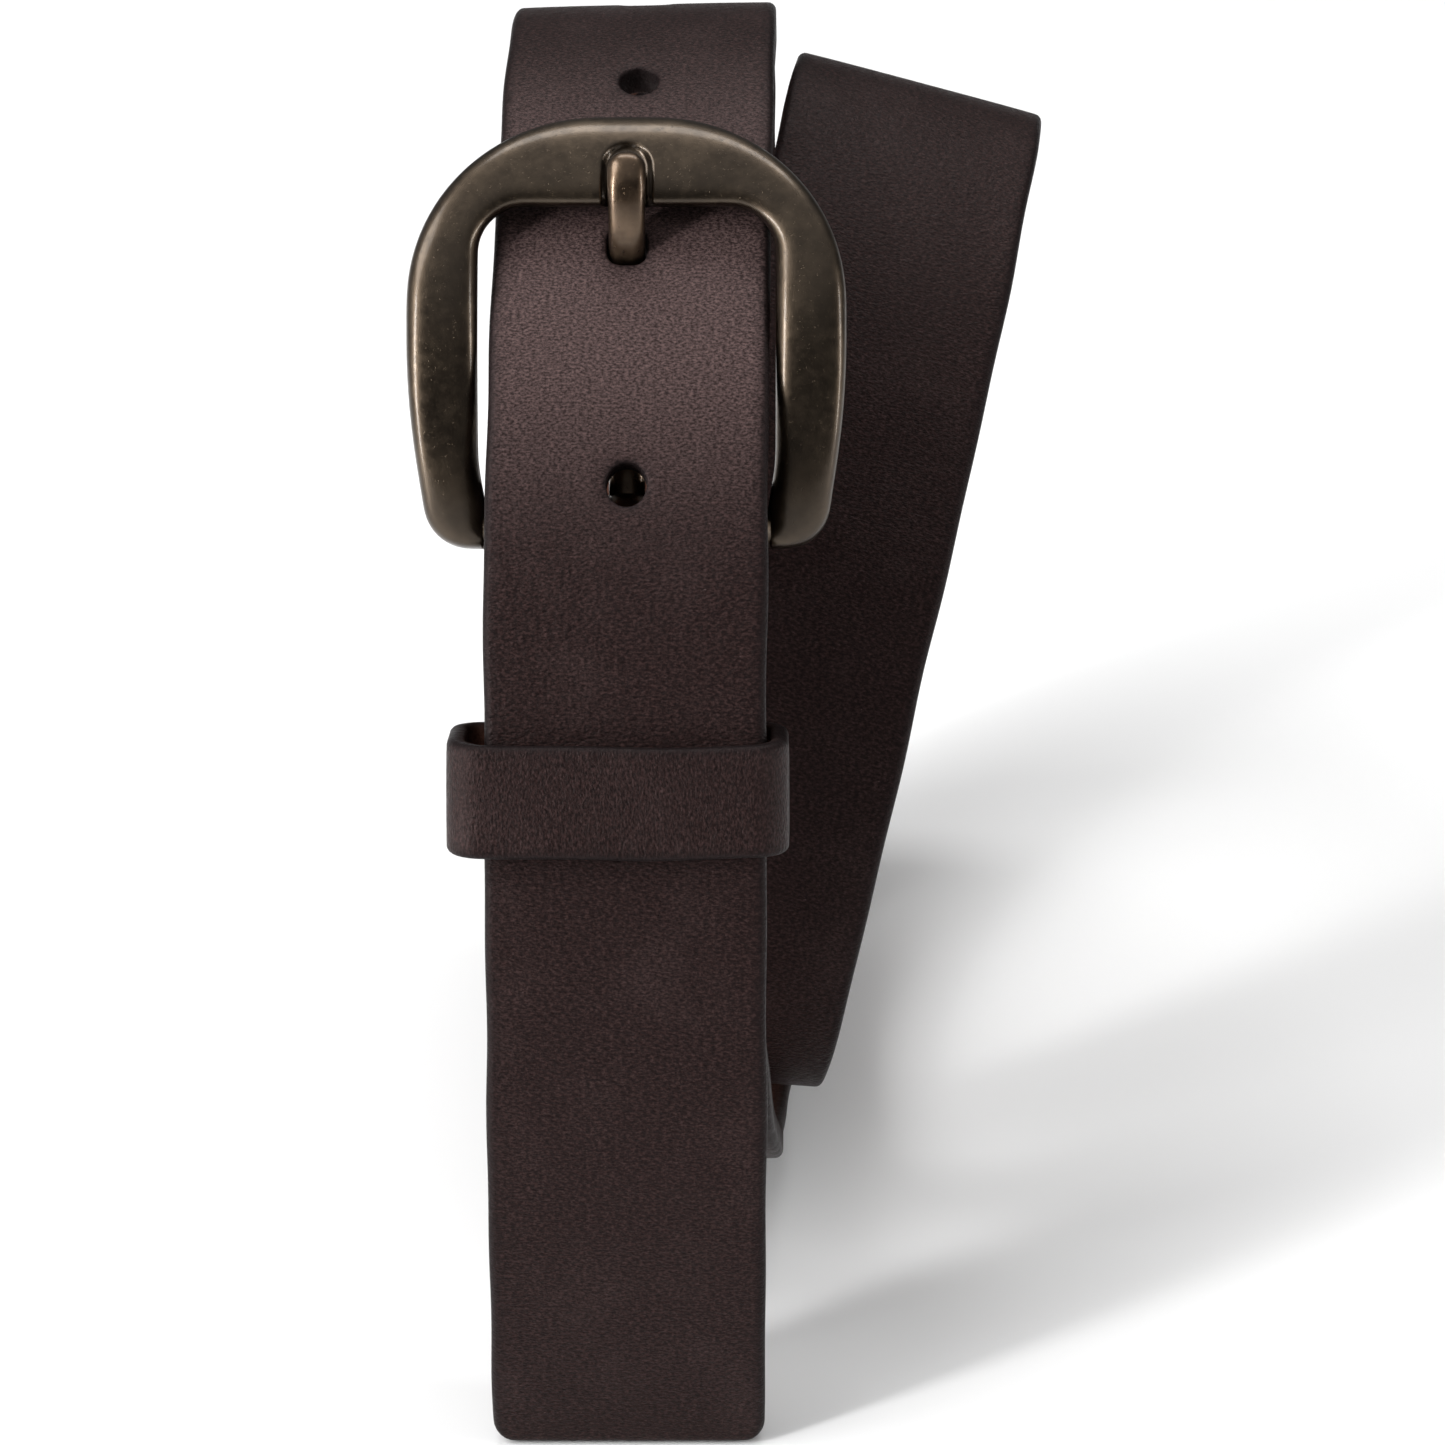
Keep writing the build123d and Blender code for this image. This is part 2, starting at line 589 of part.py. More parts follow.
LEATHER_HOLES = (
    (strap_buckle_end, SOCKET_TOP, SHANK_HOLE_RADIUS, STRAP_THICKNESS + 2 * SNAP_SEATING),
    (strap_turn_back, POST_FACE, POST_RADIUS, STUD_FACE - POST_FACE),
)
for leather, height, radius, length in LEATHER_HOLES:
    with leather:
        for plane in snap_planes:
            bored(plane, height, radius, length)

# ---------------------------------------------------------------- labels and files
NODES = {
    "strap_buckle_end": strap_buckle_end,
    "strap_turn_back": strap_turn_back,
    "strap_outer_lower": strap_outer_lower,
    "strap_outer_upper": strap_outer_upper,
    "strap_inner_lower": strap_inner_lower,
    "strap_inner_upper": strap_inner_upper,
    "strap_under_crossbar": strap_under_crossbar,
    "strap_over_tongue": strap_over_tongue,
    "strap_over_bar": strap_over_bar,
    "strap_tip": strap_tip,
    "buckle_frame": buckle_frame,
    "tongue": tongue,
    "keeper": keeper,
    "keeper_staple": keeper_staple,
    "snap_caps": snap_caps,
    "snap_sockets": snap_sockets,
    "snap_studs": snap_studs,
    "snap_posts": snap_posts,
}
os.makedirs("parts", exist_ok=True)
for name, builder in NODES.items():
    builder.part.label = name
    export_step(builder.part, f"parts/{name}.step")
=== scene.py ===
import json
import math

import bmesh
import bpy
import numpy as np
from mathutils import Matrix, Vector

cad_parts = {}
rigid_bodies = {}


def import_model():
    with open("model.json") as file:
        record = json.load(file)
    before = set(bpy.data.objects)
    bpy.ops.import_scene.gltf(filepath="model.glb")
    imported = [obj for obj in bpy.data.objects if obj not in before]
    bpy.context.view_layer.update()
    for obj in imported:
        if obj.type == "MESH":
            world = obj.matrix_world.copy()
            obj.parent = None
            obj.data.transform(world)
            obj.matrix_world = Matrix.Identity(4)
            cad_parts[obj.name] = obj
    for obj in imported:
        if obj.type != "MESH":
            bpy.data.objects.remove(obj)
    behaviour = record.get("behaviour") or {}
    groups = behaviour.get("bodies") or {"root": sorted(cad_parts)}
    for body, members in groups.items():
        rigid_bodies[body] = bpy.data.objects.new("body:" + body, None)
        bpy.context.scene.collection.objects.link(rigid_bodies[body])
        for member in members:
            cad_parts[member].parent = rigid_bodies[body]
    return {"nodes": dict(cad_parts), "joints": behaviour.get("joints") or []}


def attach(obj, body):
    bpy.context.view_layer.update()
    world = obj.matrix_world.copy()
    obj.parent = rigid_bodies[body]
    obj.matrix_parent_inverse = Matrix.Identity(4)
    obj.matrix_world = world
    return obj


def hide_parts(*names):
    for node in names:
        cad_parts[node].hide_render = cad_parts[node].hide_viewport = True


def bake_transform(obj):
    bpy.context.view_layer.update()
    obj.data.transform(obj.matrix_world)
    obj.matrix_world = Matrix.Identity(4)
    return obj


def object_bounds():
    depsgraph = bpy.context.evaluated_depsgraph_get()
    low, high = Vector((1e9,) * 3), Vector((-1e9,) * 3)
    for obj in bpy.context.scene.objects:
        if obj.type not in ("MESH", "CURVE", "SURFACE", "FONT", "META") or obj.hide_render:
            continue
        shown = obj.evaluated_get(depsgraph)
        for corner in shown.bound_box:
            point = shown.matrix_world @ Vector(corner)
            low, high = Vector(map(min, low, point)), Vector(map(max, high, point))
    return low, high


for leftover in list(bpy.data.objects):
    bpy.data.objects.remove(leftover)
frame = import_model()
cad_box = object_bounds()
nodes = frame["nodes"]
joints = {joint["name"]: joint for joint in frame["joints"]}

# Lengths are millimetres; meshes are made in metres at the very end, by make_piece.
MM = 0.001

# ---------------------------------------------------------------- driving dimensions
STRAP_WIDTH = 30.0
STRAP_THICKNESS = 3.5
TURN_BACK_THICKNESS = 2.4
TIP_CORNER = 2.6
TURN_BACK_CORNER = 1.2
FRONT_ROUND = 0.9  # rounding of the strap's edges on the grain side
BACK_ROUND = 0.6
CROWN = 0.10  # how much the strap's face falls towards its edges
ROW_STEP = 0.8  # mesh spacing along the strap
FINE_STEP = 0.45  # and round the holes
HOLE_BLOCK = 3.6  # half the side of the mesh block that holds a hole
SLOT_HALF_WIDTH = 2.7  # slot for the tongue's curl
SLOT_DEPTH = 5.8  # how far the slot reaches below the heel bar
KEEPER_WALL = 2.0
KEEPER_CORNER = 3.6
BAR_RADIUS = 2.2
TONGUE_WIDTH = 3.95
TONGUE_THICKNESS = 2.6

# ---------------------------------------------------------------- the leaning frame of the coil
X = np.array([1.0, 0.0, 0.0])
KEEPER_UP = np.array(joints["keeper_slide"]["axis"])
KEEPER_TURN = math.asin(11.9 / 165.0)  # the keeper sits this much farther round the strap's bend
LEAN = math.atan2(KEEPER_UP[1], KEEPER_UP[2]) + KEEPER_TURN
UP = np.array([0.0, math.sin(LEAN), math.cos(LEAN)])
OUT = np.array([0.0, -math.cos(LEAN), math.sin(LEAN)])
BAR = np.array(joints["buckle_tilt"]["pos_m"]) / MM
BAR_PLACE = np.array([-10.3, 21.0, -11.3])  # the heel bar as x, height, out
ORIGIN = BAR - BAR_PLACE[0] * X - BAR_PLACE[1] * UP - BAR_PLACE[2] * OUT


def leaning(x, height, out):
    """Points given in the leaning frame, in the row frame."""
    x, height, out = (np.asarray(v, float)[..., None] for v in (x, height, out))
    return ORIGIN + x * X + height * UP + out * OUT


def unit(v):
    return v / np.linalg.norm(v, axis=-1, keepdims=True)


def smooth(t):
    t = np.clip(t, 0, 1)
    return t * t * (3 - 2 * t)


# ---------------------------------------------------------------- reading edges from the CAD nodes
def sharp_edges(node):
    """The sharp edges of a CAD node: open chains between its corners, and closed loops."""
    bm = bmesh.new()
    bm.from_mesh(nodes[node].data)
    bmesh.ops.remove_doubles(bm, verts=bm.verts, dist=2e-6)
    at = {}
    for edge in bm.edges:
        if len(edge.link_faces) == 2 and edge.calc_face_angle(0) > math.radians(40):
            for vert in edge.verts:
                at.setdefault(vert, []).append(edge)
    corners = {vert: True for vert, edges in at.items() if len(edges) != 2}
    chains, loops, used = [], [], set()

    def walk(vert, edge):
        points, start = [vert.co[:]], vert
        while True:
            used.add(edge)
            vert = edge.other_vert(vert)
            points.append(vert.co[:])
            onward = [e for e in at[vert] if e not in used]
            if vert in corners or vert is start or not onward:
                return np.array(points) / MM
            edge = onward[0]

    for corner in corners:
        for edge in at[corner]:
            if edge not in used:
                chains.append(walk(corner, edge))
    for vert, edges in at.items():
        if vert not in corners and not any(e in used for e in edges):
            loops.append(walk(vert, edges[0]))
    bm.free()
    return chains, loops


def length_of(points):
    return float(np.linalg.norm(np.diff(points, axis=0), axis=1).sum())


def resample(points, where):
    """Points at these distances along a chain, on a smooth curve through its own points."""
    along = np.r_[0, np.cumsum(np.linalg.norm(np.diff(points, axis=0), axis=1))]
    slopes = np.gradient(points, along, axis=0)
    index = np.clip(np.searchsorted(along, where, "right") - 1, 0, len(along) - 2)
    span = (along[index + 1] - along[index])[:, None]
    t = ((where - along[index])[:, None]) / span
    p0, p1, m0, m1 = points[index], points[index + 1], slopes[index] * span, slopes[index + 1] * span
    return (
        (2 * t**3 - 3 * t**2 + 1) * p0
        + (t**3 - 2 * t**2 + t) * m0
        + (-2 * t**3 + 3 * t**2) * p1
        + (t**3 - t**2) * m1
    )


def blurred(values, sigma):
    """Rows of values smoothed along the first axis; the ends are carried on straight."""
    reach = int(4 * sigma) + 1
    kernel = np.exp(-0.5 * (np.arange(-reach, reach + 1) / sigma) ** 2)
    kernel /= kernel.sum()
    head = 2 * values[0] - values[reach:0:-1]
    tail = 2 * values[-1] - values[-2 : -reach - 2 : -1]
    padded = np.concatenate([head, values, tail])
    return np.stack([np.convolve(column, kernel, "valid") for column in padded.T], axis=1)


# ---------------------------------------------------------------- the line of a band of leather
class Line:
    """The grain face's middle line of a band, with its directions: along, across (B) and outwards (N)."""

    def __init__(self, middle, across, closed=False):
        self.s = np.r_[0, np.cumsum(np.linalg.norm(np.diff(middle, axis=0), axis=1))]
        self.length = self.s[-1]
        self.p = middle
        along = unit(np.gradient(middle, self.s, axis=0))
        if closed:
            ends = unit(middle[1] - middle[-2])
            along[0] = along[-1] = ends
        self.b = unit(across - along * (across * along).sum(1)[:, None])
        self.n = unit(np.cross(along, self.b))
        self.t = along

    def at(self, values, s):
        return np.stack([np.interp(s, self.s, column) for column in values.T], axis=-1)

    def place(self, s, b, n):
        """Points at this distance along, across and outwards."""
        s, b, n = np.broadcast_arrays(s, b, n)
        return self.at(self.p, s) + b[..., None] * self.at(self.b, s) + n[..., None] * self.at(self.n, s)

    def nearest(self, point, low, high):
        """How far along the line a point is, between two distances."""
        away = np.linalg.norm(self.p - point, axis=1)
        away[(self.s < low) | (self.s > high)] = np.inf
        return self.s[np.argmin(away)]


STRAP_RUN = (
    "strap_turn_back",
    "strap_buckle_end",
    "strap_outer_lower",
    "strap_outer_upper",
    "strap_inner_lower",
    "strap_inner_upper",
    "strap_under_crossbar",
    "strap_over_tongue",
    "strap_over_bar",
)
LINE_STEP = 0.5


def read_strap():
    """The strap's line, from the grain-side edges of its CAD nodes, and where each node starts on it."""
    outline = max(sharp_edges("strap_tip")[0], key=length_of)
    if outline[0][0] > outline[-1][0]:
        outline = outline[::-1]
    arm = (length_of(outline) - STRAP_WIDTH + (2 - math.pi) * TIP_CORNER) / 2
    steps = np.arange(0, arm, LINE_STEP)
    sides = [resample(outline, steps), resample(outline[::-1], steps)]
    counts = {"strap_tip": len(steps)}
    hooks = [outline[0], outline[-1]]
    for node in reversed(STRAP_RUN):
        chains = [c for c in sharp_edges(node)[0] if length_of(c) > max(8, 1.5 * abs(c[0][0] - c[-1][0]))]
        pair = []
        for hook in hooks:
            near = min((c for chain in chains for c in (chain, chain[::-1])), key=lambda c: math.dist(c[-1], hook))
            pair.append(near)
        count = round(max(length_of(c) for c in pair) / LINE_STEP)
        shares = np.arange(count) / count
        sides = [np.concatenate([resample(c, shares * length_of(c)), side]) for c, side in zip(pair, sides)]
        counts[node] = count
        hooks = [c[0] for c in pair]
    middle = blurred((sides[0] + sides[1]) / 2, 2.6)
    across = blurred(sides[1] - sides[0], 6.0)
    onward = unit(middle[-1] - middle[-2])
    missing = arm + TIP_CORNER - steps[-1]
    extra = np.linspace(0, missing, 6)[1:, None]
    middle = np.concatenate([middle, middle[-1] + extra * onward])
    across = np.concatenate([across, np.repeat(across[-1:], len(extra), axis=0)])
    line = Line(middle, across)
    starts, index = {}, 0
    for node in (*STRAP_RUN, "strap_tip"):
        starts[node] = line.s[index]
        index += counts[node]
    return line, starts


strap, starts = read_strap()


def read_holes():
    """Each punched hole: how far along it is on the grain side and on the back, and its half sizes."""
    found = []
    for node, after in (
        ("strap_inner_upper", "strap_under_crossbar"),
        ("strap_over_tongue", "strap_over_bar"),
        ("strap_over_bar", "strap_tip"),
    ):
        faces = {"front": [], "back": []}
        for loop in sharp_edges(node)[1]:
            centre = (loop.min(0) + loop.max(0)) / 2
            s = strap.nearest(centre, starts[node], starts[after])
            rise = (centre - strap.at(strap.p, s)) @ strap.at(strap.n, s)
            along = (loop - centre) @ strap.at(strap.t, s)
            across = (loop - centre) @ strap.at(strap.b, s)
            middle = (centre - strap.at(strap.p, s)) @ strap.at(strap.b, s)
            side = "front" if rise > -STRAP_THICKNESS / 2 else "back"
            faces[side].append((s, np.ptp(along) / 2, np.ptp(across) / 2, middle))
        for front in faces["front"]:
            back = min(faces["back"], key=lambda face: abs(face[0] - front[0]))
            squareness = 3.0 if node == "strap_over_tongue" else 2.0
            found.append(Hole(front[0], back[0], *front[1:], squareness))
    return sorted(found, key=lambda hole: hole.front)


class Hole:
    """A hole through the band. Its outline is a superellipse: 2 is an oval, 3 nearly a rounded rectangle."""

    def __init__(self, front, back, half_along, half_across, middle, squareness):
        self.front, self.back, self.middle = front, back, middle
        self.half_along, self.half_across = half_along, half_across
        self.squareness = squareness
        self.start = min(front, back) - HOLE_BLOCK
        self.end = max(front, back) + HOLE_BLOCK
        self.half_block = HOLE_BLOCK

    def outline(self, s, b):
        """The outline's points that face these points of the block's border."""
        centre = (self.start + self.end) / 2
        away_s, away_b = (s - centre) / self.half_along, b / self.half_across
        size = (np.abs(away_s) ** self.squareness + np.abs(away_b) ** self.squareness) ** (1 / self.squareness)
        return (s - centre) / size, b / size


class Slot(Hole):
    """The slot in the fold: a rectangle whose outline follows its block."""

    def __init__(self, start, end, half_width):
        super().__init__((start + end) / 2, (start + end) / 2, (end - start) / 2, half_width, 0.0, 2.0)
        self.half_block = half_width + FINE_STEP
        self.start, self.end = start - FINE_STEP, end + FINE_STEP

    def outline(self, s, b):
        centre = (self.start + self.end) / 2
        half = (self.end - self.start) / 2
        return (s - centre) * self.half_along / half, b * self.half_across / self.half_block


holes = read_holes()


# ---------------------------------------------------------------- bands of leather as meshes
def waves(s, seed, lengths):
    """A smooth, repeatable wobble along the band, about -1 to 1."""
    phases = np.random.RandomState(seed).uniform(0, 2 * math.pi, len(lengths))
    return sum(np.sin(2 * math.pi * s / length + phase) for length, phase in zip(lengths, phases)) / len(lengths)


def creases(s, b):
    """Shallow wrinkles across the grain side, strongest in patches."""
    patch = 0.45 + 0.55 * waves(s, 3, (61.0, 37.0, 23.0)) * waves(b, 4, (31.0, 19.0))
    bent = s + 0.9 * waves(b, 5, (13.0, 7.1)) + 0.5 * waves(b + 0.3 * s, 6, (4.3, 5.9))
    return 0.009 * np.clip(patch, 0, 1) * waves(bent, 7, (2.9, 3.7, 5.3))


class Band:
    """A closed mesh of a leather band that is cut into pieces along its length.

    Every row of the mesh is a closed ring of vertices: the front's columns from left to right, the
    right edge, the back's columns from right to left, and the left edge.
    """

    def __init__(self, line, width, thickness, rounds, wobble, holes=(), corners=(0, 0), ends_joined=False):
        self.line, self.half, self.thickness = line, width / 2, thickness
        self.front_round, self.back_round = rounds
        self.wobble, self.holes, self.ends_joined = wobble, holes, ends_joined
        self.corners = corners
        self.columns = self.make_columns()
        self.rows = self.make_rows()
        self.ring = self.make_ring()
        self.faces, self.face_row = [], []
        self.make_grid()

    def make_columns(self):
        """Across places of the flat part: a fine middle for holes, then wider steps."""
        inner = self.half - self.front_round
        if not self.holes:
            return np.linspace(-inner, inner, 2 * round(inner / ROW_STEP) + 1)
        fine = np.arange(0, HOLE_BLOCK + FINE_STEP / 2, FINE_STEP)
        coarse = np.linspace(HOLE_BLOCK, inner, 1 + round((inner - HOLE_BLOCK) / ROW_STEP))[1:]
        positive = np.r_[fine, coarse]
        return np.r_[-positive[:0:-1], positive]

    def make_rows(self):
        """Along places of the rows, even between the holes and packed closer at rounded ends."""
        length = self.line.length
        marks = [0.0]
        for hole in self.holes:
            marks += [hole.start, hole.end]
        marks.append(length)
        rows = [np.array([0.0])]
        for index, (low, high) in enumerate(zip(marks[:-1], marks[1:])):
            step = FINE_STEP if index % 2 else ROW_STEP
            rows.append(np.linspace(low, high, 1 + math.ceil((high - low) / step))[1:])
        rows = np.concatenate(rows)
        turn = np.sin(np.linspace(0, math.pi / 2, 10))
        if self.corners[0]:
            rows = np.r_[self.corners[0] * (1 - turn[::-1]), rows[rows > self.corners[0] + 0.2]]
        if self.corners[1]:
            rows = np.r_[rows[rows < length - self.corners[1] - 0.2], length - self.corners[1] * (1 - turn)]
        return rows

    def make_ring(self):
        """The ring as across place, share of the thickness below the front rounding, and burnish."""
        turn = np.linspace(0, math.pi / 2, 6)[1:]
        front, back = self.front_round, self.back_round
        arc_b = np.r_[np.sin(turn) * front - front, np.sin(turn[::-1]) * back - back] + self.half
        front_drop = np.r_[(1 - np.cos(turn)) * front, np.zeros(len(turn))]
        back_rise = np.r_[np.zeros(len(turn)), (1 - np.cos(turn[::-1])) * back]
        on_back = np.r_[np.zeros(len(turn)), np.ones(len(turn))]
        ring = {
            "b": np.r_[self.columns, arc_b, self.columns[::-1], -arc_b[::-1]],
            "drop": np.r_[0 * self.columns, front_drop, 0 * self.columns, front_drop[::-1]],
            "rise": np.r_[0 * self.columns, back_rise, 0 * self.columns, back_rise[::-1]],
            "back": np.r_[0 * self.columns, on_back, 0 * self.columns + 1, on_back[::-1]],
        }
        ring["b"][len(self.columns) + 2 * len(turn)] = self.columns[-1]
        return ring

    def end_shape(self, s):
        """Near a rounded end: the half width there, and how far the faces have rounded in."""
        half = np.full(np.shape(s), self.half)
        inset = np.zeros(np.shape(s))
        for corner, away in zip(self.corners, (s, self.line.length - s)):
            if corner:
                short = np.clip(corner - away, 0, corner)
                half = np.minimum(half, self.half - corner + np.sqrt(corner**2 - short**2))
                near = np.clip(1 - away / self.front_round, 0, 1)
                inset = np.maximum(inset, 1 - np.sqrt(1 - near**2))
        return half, inset

    def surface(self, s, b, back):
        """Height of the front or back face at these places, along the band's normal."""
        front = -CROWN * (np.abs(b) / self.half) ** 4 + (0 if self.wobble is None else creases(s, b))
        return np.where(back > 0.5, -self.thickness(s), front)

    def put(self, s, b, n):
        if self.wobble is not None:
            side = np.clip(b / self.half, -1, 1)
            left, right = waves(s, self.wobble, (83.0, 31.0, 17.0)), waves(s, self.wobble + 1, (71.0, 29.0, 19.0))
            b = b + 0.16 * np.where(side > 0, right * side**4, left * side**4)
        return self.line.place(s, b, n)

    def make_grid(self):
        rows, ring = self.rows[:, None], self.ring
        half, inset = self.end_shape(rows)
        b = ring["b"] * half / self.half
        n = self.surface(rows, b, ring["back"])
        n = n - ring["drop"] + ring["rise"]
        n = n - inset * self.front_round * (1 - ring["back"]) * (1 - ring["drop"] / self.front_round)
        n = n + inset * self.back_round * ring["back"] * (1 - ring["rise"] / self.back_round)
        s = rows + 0 * b
        count = len(ring["b"])
        edge = smooth((np.abs(ring["b"]) - self.half + self.front_round + 0.5) / 1.2) + 0 * s
        ends = smooth(inset * 2) + 0 * b
        self.verts = self.put(s, b, n).reshape(-1, 3)
        self.coords = np.stack([s, b, n], -1).reshape(-1, 3)
        self.burnish = np.maximum(edge, ends).ravel()
        self.flesh = (ring["back"] + 0 * s).ravel()
        first, last = 0, len(self.columns) - 1
        back_first = len(self.columns) + 10
        blocked = set()
        for hole in self.holes:
            i0, i1 = (int(np.argmin(np.abs(self.rows - edge))) for edge in (hole.start, hole.end))
            j0, j1 = (int(np.argmin(np.abs(self.columns - edge))) for edge in (-hole.half_block, hole.half_block))
            blocked |= {(i, j) for i in range(i0, i1) for j in range(j0, j1)}
            blocked |= {(i, back_first + last - j - 1) for i in range(i0, i1) for j in range(j0, j1)}
            border = [(i, j0) for i in range(i0, i1)] + [(i1, j) for j in range(j0, j1)]
            border += [(i, j1) for i in range(i1, i0, -1)] + [(i0, j) for j in range(j1, j0, -1)]
            front = [i * count + j for i, j in border]
            back = [i * count + back_first + last - j for i, j in border]
            self.line_hole(hole, front, back, i0)
        for i in range(len(self.rows) - 1):
            there = 0 if self.ends_joined and i == len(self.rows) - 2 else (i + 1) * count
            for j in range(count):
                if (i, j) not in blocked:
                    after = (j + 1) % count
                    here = i * count
                    self.faces.append((here + j, there + j, there + after, here + after))
                    self.face_row.append(i)

    def line_hole(self, hole, front, back, row):
        """Bridge a block's front border to its back border, through the hole."""
        rim, rings = 0.35, []
        s, b = self.coords[front, 0], self.coords[front, 1]
        edge_s, edge_b = hole.outline(s, b)
        reach = np.hypot(edge_s, edge_b)
        out_s, out_b = edge_s / reach, edge_b / reach
        middle = (hole.start + hole.end) / 2
        turn = np.linspace(0, math.pi / 2, 4)
        for on_back, centre, steps in ((0, hole.front, (0.75, 0.5, 0.25)), (1, hole.back, (0.25, 0.5, 0.75))):
            flat = []
            for share in steps:
                to_s = centre + edge_s + rim * out_s
                to_b = hole.middle + edge_b + rim * out_b
                ring_s, ring_b = to_s + share * (s - to_s), to_b + share * (b - to_b)
                dent = 0.10 * (1 - share) ** 2 if not on_back else 0
                flat.append((ring_s, ring_b, self.surface(ring_s, ring_b, on_back) - dent, 0.25 * (1 - share), on_back))
            round_in = []
            for angle in turn if not on_back else turn[::-1]:
                ring_s = centre + edge_s + rim * (1 - math.sin(angle)) * out_s
                ring_b = hole.middle + edge_b + rim * (1 - math.sin(angle)) * out_b
                depth = rim * (1 - math.cos(angle)) + (0.10 if not on_back else 0)
                n = self.surface(ring_s, ring_b, on_back) + (depth if on_back else -depth)
                round_in.append((ring_s, ring_b, n, 0.4 + 0.6 * math.sin(angle), on_back))
            rings += flat + round_in if not on_back else round_in + flat
        loops = [front]
        for ring_s, ring_b, n, burnish, on_back in rings:
            start = len(self.verts)
            self.verts = np.concatenate([self.verts, self.put(ring_s, ring_b, n)])
            self.coords = np.concatenate([self.coords, np.stack([ring_s, ring_b, n], -1)])
            self.burnish = np.r_[self.burnish, np.full(len(ring_s), burnish)]
            self.flesh = np.r_[self.flesh, np.full(len(ring_s), float(on_back))]
            loops.append(list(range(start, start + len(ring_s))))
        loops.append(back)
        for loop, onward in zip(loops[:-1], loops[1:]):
            for k in range(len(loop)):
                after = (k + 1) % len(loop)
                self.faces.append((loop[k], loop[after], onward[after], onward[k]))
                self.face_row.append(row)

    def row_near(self, s):
        """The row nearest to a distance, kept clear of the holes."""
        for hole in self.holes:
            if hole.start < s < hole.end:
                s = hole.start if s - hole.start < hole.end - s else hole.end
        return int(np.argmin(np.abs(self.rows - s)))

    def cap(self, row, flip):
        """Faces that close the band across one row."""
        start, columns, count = row * len(self.ring["b"]), len(self.columns), len(self.ring["b"])
        edge = (count - 2 * columns) // 2
        faces = []
        for j in range(columns - 1):
            opposite = columns + edge + (columns - 1 - j)
            faces.append((j, j + 1, opposite - 1, opposite))
        faces.append(tuple(range(columns - 1, columns + edge + 1)))
        faces.append((0, *range(count - 1, count - edge - 2, -1))[::-1])
        faces = [tuple(start + v for v in face) for face in faces]
        return [face[::-1] for face in faces] if flip else faces

    def piece(self, name, low, high, material):
        """A closed piece of the band, from one distance to another."""
        first = self.row_near(low)
        last = self.row_near(high)
        faces = [face for face, row in zip(self.faces, self.face_row) if first <= row < last]
        caps = [] if self.ends_joined else self.cap(first, False) + self.cap(last, True)
        return make_piece(name, self, faces, caps, material)


def make_piece(name, source, faces, caps, material):
    """A mesh object in metres, with the shader's attributes carried over."""
    used = np.unique(np.concatenate([np.array(face) for face in faces + caps]))
    renumber = np.full(len(source.verts), -1)
    renumber[used] = np.arange(len(used))
    mesh = bpy.data.meshes.new(name)
    mesh.from_pydata(source.verts[used] * MM, [], [tuple(renumber[list(face)]) for face in faces + caps])
    coords = mesh.attributes.new("coords", "FLOAT_VECTOR", "POINT")
    coords.data.foreach_set("vector", source.coords[used].astype(np.float32).ravel())
    for label in ("burnish", "flesh"):
        attribute = mesh.attributes.new(label, "FLOAT", "POINT")
        attribute.data.foreach_set("value", getattr(source, label)[used].astype(np.float32))
    bm = bmesh.new()
    bm.from_mesh(mesh)
    bmesh.ops.recalc_face_normals(bm, faces=bm.faces)
    bm.faces.ensure_lookup_table()
    for face in bm.faces:
        face.smooth = True
        if face.index >= len(faces):
            for edge in face.edges:
                if any(other.index < len(faces) for other in edge.link_faces):
                    edge.smooth = False
    bm.to_mesh(mesh)
    bm.free()
    mesh.materials.append(material)
    piece = bpy.data.objects.new(name, mesh)
    bpy.context.scene.collection.objects.link(piece)
    return piece


# ---------------------------------------------------------------- materials
class Shader:
    """A material's node tree, built one node at a time."""

    def __init__(self, name):
        self.material = bpy.data.materials.new(name)
        self.material.use_nodes = True
        self.tree = self.material.node_tree
        self.tree.nodes.clear()

    def add(self, kind, inputs=None, output=0, **settings):
        node = self.tree.nodes.new("ShaderNode" + kind)
        for key, value in settings.items():
            setattr(node, key, value)
        for key, value in (inputs or {}).items():
            if isinstance(value, bpy.types.NodeSocket):
                self.tree.links.new(value, node.inputs[key])
            else:
                node.inputs[key].default_value = value
        return node.outputs[output]

    def attribute(self, name, output):
        return self.add("Attribute", output=output, attribute_name=name)

    def scaled(self, vector, scale):
        return self.add("VectorMath", {0: vector, 1: scale}, operation="MULTIPLY")

    def noise(self, vector, scale, detail=3.0, roughness=0.55):
        return self.add("TexNoise", {"Vector": vector, "Scale": scale, "Detail": detail, "Roughness": roughness})

    def math(self, operation, first, second=0.0, clamp=False):
        return self.add("Math", {0: first, 1: second}, operation=operation, use_clamp=clamp)

    def ramp(self, value, low, high, to_low=0.0, to_high=1.0):
        return self.add(
            "MapRange", {"Value": value, "From Min": low, "From Max": high, "To Min": to_low, "To Max": to_high},
            interpolation_type="SMOOTHSTEP",
        )

    def mix(self, share, first, second):
        return self.add("Mix", {0: share, 6: first, 7: second}, output=2, data_type="RGBA")

    def bump(self, height, distance, normal=None, strength=1.0):
        inputs = {"Height": height, "Distance": distance * MM, "Strength": strength}
        if normal is not None:
            inputs["Normal"] = normal
        return self.add("Bump", inputs)

    def surface(self, **inputs):
        shader = self.add("BsdfPrincipled", {key.replace("_", " "): value for key, value in inputs.items()})
        self.add_output(shader)
        return self.material

    def add_output(self, shader):
        output = self.tree.nodes.new("ShaderNodeOutputMaterial")
        self.tree.links.new(shader, output.inputs["Surface"])


